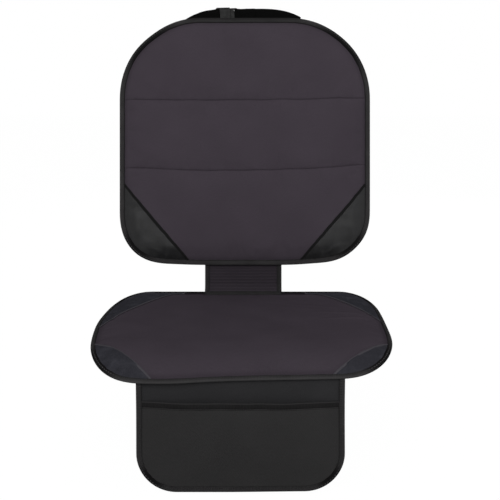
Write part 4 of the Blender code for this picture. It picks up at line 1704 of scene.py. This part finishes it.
class Studio:
    """The pale floor, the soft lights and the camera."""

    floor_height: float = -0.1915
    distance: float = 1.674
    lens: float = 63.5
    sensor: float = 36.0
    shift: float = -0.0192

    def build(self) -> None:
        """Sets up everything around the mat."""
        scene = bpy.context.scene
        scene.view_settings.view_transform = "Standard"
        self.make_world(scene)
        self.make_floor()
        self.make_light("key", (-0.35, -2.1, 1.75), (0.0, 0.0, 0.20), 1.6, 36.0)
        self.make_light("fill", (1.3, -1.5, 0.7), (0.0, 0.0, 0.15), 1.4, 7.0)
        self.make_light("back", (0.5, 2.3, 1.2), (0.0, 0.2, 0.25), 1.6, 15.0)
        self.make_camera(scene)

    def make_world(self, scene: bpy.types.Scene) -> None:
        """Lights from all round, and shows white to the camera, to gloss and through glass."""
        graph = Graph("studio", world=True)
        rays = graph.add("ShaderNodeLightPath")
        seen = graph.math("MAXIMUM", rays, rays.sibling("Is Glossy Ray"))
        seen = graph.math("MAXIMUM", seen, rays.sibling("Is Transmission Ray"))
        way = graph.add("ShaderNodeTexCoord", output="Generated")
        height = graph.add("ShaderNodeSeparateXYZ", None, {0: way}, 2)
        above = graph.add("ShaderNodeMapRange", None, {"Value": height, "From Min": -0.4, "From Max": 0.9,
                                                       "To Min": 0.30, "To Max": 0.56})
        level = graph.add("ShaderNodeMapRange", None, {"Value": seen, "To Min": above, "To Max": 1.0})
        scene.world = graph.finish({"Color": (1, 1, 1, 1)}, Strength=level)

    def make_floor(self) -> None:
        """Makes the pale floor, white to the camera but for a trace of the mat's shadow."""
        bm = bmesh.new()
        bmesh.ops.create_grid(bm, x_segments=2, y_segments=2, size=9.0)
        bmesh.ops.translate(bm, vec=(0, 0, self.floor_height), verts=bm.verts)
        floor = make_object("floor", bm)
        graph = Graph("floor_paper")
        place = graph.add("ShaderNodeTexCoord", output="Object")
        colour = graph.mix(graph.noise(place, 40.0), grey(0.60), grey(0.64))
        graph.finish({"Specular IOR Level": 0.1, "Roughness": 0.9}, Base_Color=colour)
        rays = graph.add("ShaderNodeLightPath")
        seen = graph.math("MAXIMUM", rays, rays.sibling("Is Glossy Ray"))
        white = graph.add("ShaderNodeEmission", None, {"Color": (1, 1, 1, 1), "Strength": 1.02})
        blend = graph.add("ShaderNodeMixShader", None,
                          {0: seen * 0.965, 1: Signal(graph, graph.shader.outputs[0]), 2: white})
        graph.feed(graph.tree.nodes["Material Output"].inputs["Surface"], blend)
        floor.data.materials.append(graph.owner)

    def make_light(self, name: str, place: tuple[float, float, float], aim: tuple[float, float, float],
                   size: float, power: float) -> None:
        """Adds a large soft light.

        Args:
            name: the light's name.
            place: where it stands.
            aim: what it points at.
            size: side of its square.
            power: its power in watts.
        """
        lamp = bpy.data.lights.new(name, "AREA")
        lamp.size = size
        lamp.energy = power
        obj = bpy.data.objects.new(name, lamp)
        obj.location = place
        obj.rotation_euler = (Vector(aim) - Vector(place)).to_track_quat("-Z", "Y").to_euler()
        bpy.context.scene.collection.objects.link(obj)

    def make_camera(self, scene: bpy.types.Scene) -> None:
        """Adds the camera at the photograph's viewing angle, square to the back panel."""
        aim = np.array(((0.028, 0.0785, 0.0027 + self.distance),))
        place = LeanFrame(BACK_FOOT, BACK_TILT).place(aim)[0]
        data = bpy.data.cameras.new("camera")
        data.lens = self.lens
        data.sensor_width = self.sensor
        data.shift_x = self.shift
        camera = bpy.data.objects.new("camera", data)
        camera.location = place
        camera.rotation_euler = (BACK_TILT, 0, 0)
        scene.collection.objects.link(camera)
        scene.camera = camera


# The whole mat


@dataclass
class SeatProtector:
    """The mat as a whole."""

    seat_frame: DrapedFrame = DrapedFrame(eases=(
        Ease((-HALF_MAT, -0.2036), (0.060, 0.084), (-0.0075, 0.0)),
        Ease((HALF_MAT, -0.180), (0.060, 0.080), (0.0020, 0.0)),
        Ease((HALF_MAT, -0.395), (0.060, 0.055), (0.0024, 0.0)),
        Ease((-0.105, -SEAT_DEPTH), (0.055, 0.040), (0.0, -0.0034))))
    back_frame: LeanFrame = LeanFrame(BACK_FOOT, BACK_TILT, (
        Ease((-0.150, 0.050), (0.040, 0.040), (0.0, 0.0020)),
        Ease((0.150, 0.050), (0.045, 0.040), (0.0, 0.0034)),
        Ease((0.205, 0.075), (0.050, 0.045), (-0.0036, 0.0036)),
        Ease((-0.165, 0.475), (0.04, 0.04), (0.002, -0.0014)),
        Ease((0.165, 0.475), (0.04, 0.04), (-0.0010, -0.0006))))
    flap_frame: LeanFrame = LeanFrame((0.0, -0.242087, -0.021307), math.radians(85))

    def build_back(self) -> None:
        """Builds the back panel with its lining, binding and lower patches."""
        panel = PaddedPanel(
            "back", Plan(MAT_WIDTH, 0.050, BACK_TOP, (0.102, 0.102), (0.154, 0.154), 2.34, 2.04),
            self.back_frame, slope_width=0.026,
            seams=(Seam(0.2290, 0.00265, 0.00945), Seam(0.3622, 0.0019, 0.0030)),
            folds=(Fold((-0.22, 0.46), (-0.11, 0.33), 0.020, 0.0009),
                   Fold((0.22, 0.47), (0.10, 0.36), 0.022, 0.0008)))
        panel.run_swell()
        pad = panel.make_pad()
        add_to_mat(pad, padded_cloth(), "padded_fabric", "back_face_fabric", "back_foam")
        lining = panel.make_lining("back_rear_lining")
        add_to_mat(lining, LINING, "grip_lining", "back_lining")
        section = TapeSection(0.0097, 0.0002, 0.0055)
        tape = sweep_tape("back_edge_tape", panel.plan.outline(), section, panel.frame)
        heights = read_places(tape.data)[:, 2]
        top = heights.max()
        write_value(tape.data, SHADOW, 0.75 * smooth_step(top - 0.0065, top - 0.001, heights))
        # This edge's copy of the tape is painted lighter for how it is lit, with painted shade along its
        # inner edge.
        add_to_mat(tape, binding_tape(section.girth, 1.4, 0.6), "binding_tape", "back_binding")
        for side in Side:
            sign = side.value
            folds = (Fold((sign * 0.196, 0.155), (sign * 0.213, 0.085), 0.010, 0.0016),
                     Fold((sign * 0.150, 0.068), (sign * 0.200, 0.090), 0.006, 0.0010))
            self.build_patch(CornerPatch(panel, side, False, (0.1635, 0.1376), folds), "back_patch",
                             BACK_LEATHER, SHADED_BACK_TRIM)

    def build_patch(self, patch: CornerPatch, name: str, leather: Finish, edge: Finish) -> None:
        """Builds one corner patch with its trim.

        Args:
            patch: the patch's sizes.
            name: first part of the names of the pieces and of the solids that they stand for.
            leather: the leatherette's finish.
            edge: the trim's finish.
        """
        label = patch.side.label
        sheet = patch.make_patch(f"{name}_leather_{label}")
        add_to_mat(sheet, leather, "leatherette", f"{name}_{label}")
        trim = patch.make_trim(f"{name}_tape_{label}")
        add_to_mat(trim, edge, "binding_tape", f"{name}_trim_{label}")
        outer, diagonal = patch.edges()

    def build_seat(self) -> None:
        """Builds the seat panel with its grip backing, binding and four patches."""
        folds = (Fold((0.10, -0.170), (0.232, -0.185), 0.0050, 0.0014),
                 Fold((0.12, -0.215), (0.225, -0.200), 0.0050, 0.0013),
                 Fold((0.06, -0.120), (0.18, -0.150), 0.0055, 0.0008),
                 Fold((0.02, -0.130), (0.16, -0.165), 0.012, 0.0006),
                 Fold((-0.23, -0.21), (-0.13, -0.26), 0.014, 0.0008))
        plan = Plan(MAT_WIDTH, -SEAT_DEPTH, 0.0, (0.0996, 0.1673), (0.0628, 0.1438), 2.6, 2.15)
        panel = PaddedPanel("seat", plan, self.seat_frame, folds=folds, slope_start=0.0072, slope_width=0.050)
        panel.run_swell()
        pad = panel.make_pad()
        # The seat's cloth is the back's cloth painted darker, as painted shade.
        add_to_mat(pad, padded_cloth(0.86), "padded_fabric", "seat_face_fabric", "seat_foam")
        write_value(pad.data, SHADOW, smooth_step(0.143, 0.156, read_places(pad.data)[:, 1]))
        lining = panel.make_lining("seat_grip_cloth")
        add_to_mat(lining, LINING, "grip_lining", "seat_grip_backing")
        section = TapeSection(0.0074, 0.0002, 0.0053, pucker=0.0004, seed=9)
        tape = sweep_tape("seat_edge_tape", panel.plan.outline(), section, panel.frame)
        write_value(tape.data, SHADOW, smooth_step(0.125, 0.160, read_places(tape.data)[:, 1]))
        # This edge's copy of the tape is painted lighter for how it is lit.
        add_to_mat(tape, binding_tape(section.girth, 1.2), "binding_tape", "seat_binding")
        legs = {Side.LEFT: ((0.118, 0.1135), (0.240, 0.126)), Side.RIGHT: ((0.1005, 0.109), (0.210, 0.127))}
        for side in Side:
            sign = side.value
            creases = (Fold((sign * 0.20, -0.33), (sign * 0.14, -0.40), 0.012, 0.0012),
                       Fold((sign * 0.20, -0.10), (sign * 0.13, -0.03), 0.008, 0.0012))
            for at_far_end, end in ((False, "front"), (True, "rear")):
                patch = CornerPatch(panel, side, at_far_end, legs[side][at_far_end], (creases[at_far_end],),
                                    0.0066, trim_width=0.0042, trim_height=0.0012)
                self.build_patch(patch, f"seat_{end}_patch", SEAT_LEATHER, LIT_SEAT_TRIM)

    def build_connector(self) -> None:
        """Builds the cloth between the panels."""
        connector = Connector(self.back_frame)
        cloth = connector.make_cloth("connector_cloth")
        add_to_mat(cloth, CONNECTOR_CLOTH, "connector_fabric", "connector_panel")
        # The connector's tapes and hem are copies of the tape painted lighter for how they are lit, with
        # painted shade along their inner edges.
        for side in Side:
            tape = connector.make_side(f"connector_tape_{side.label}", side)
            add_to_mat(tape, binding_tape(0.0183, 1.15, 0.3), "binding_tape",
                       f"connector_binding_{side.label}")
        hem = connector.make_hem("connector_bottom_hem")
        add_to_mat(hem, binding_tape(0.0167, 1.15, 0.3), "binding_tape", "connector_hem")

    def build_flap(self) -> None:
        """Builds the pocket flap under the front edge."""
        flap = PocketFlap(self.flap_frame)
        cloth = flap.make_cloth("flap_cloth")
        add_to_mat(cloth, FLAP_CLOTH, "flap_fabric", "flap_panel")
        pocket = flap.make_pocket("pocket_cloth")
        add_to_mat(pocket, POCKET_CLOTH, "pocket_fabric", "flap_pocket")
        hem = flap.make_mouth_tape("pocket_mouth_tape")
        add_to_mat(hem, mouth_tape(2 * flap.hem_height), "binding_tape", "pocket_hem")
        section = TapeSection(flap.tape_leg, -0.0013, 0.0041, puff=0.0003)
        tape = sweep_tape("flap_edge_tape", flap.path(), section, flap, False)
        # The flap's copy of the tape is painted lighter for how it is lit, with painted shade along its inner
        # edge.
        add_to_mat(tape, binding_tape(section.girth, 1.12, 0.2), "binding_tape", "flap_binding")

    def build_strap(self, frame: dict) -> None:
        """Builds the headrest strap, and dresses the buckle's own solids.

        Args:
            frame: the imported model.
        """
        strap = HeadrestStrap(self.back_frame)
        for side, bar_depth in ((Side.LEFT, 0.0055), (Side.RIGHT, 0.0037)):
            webbing = strap.make_length(f"webbing_{side.label}", side, bar_depth)
            add_to_mat(webbing, WEBBING, "webbing", f"strap_{side.label}")
        for node in ("buckle_socket", "buckle_plug"):
            solid = frame["nodes"][node]
            solid.data.materials.clear()
            solid.data.materials.append(material_of(PLASTIC))


def main() -> None:
    """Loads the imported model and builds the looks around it."""
    logging.basicConfig(level=logging.INFO, format="%(name)s: %(message)s")
    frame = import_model()
    Studio().build()
    mat = SeatProtector()
    mat.build_back()
    mat.build_seat()
    mat.build_connector()
    mat.build_flap()
    mat.build_strap(frame)


if __name__ == "__main__":
    main()
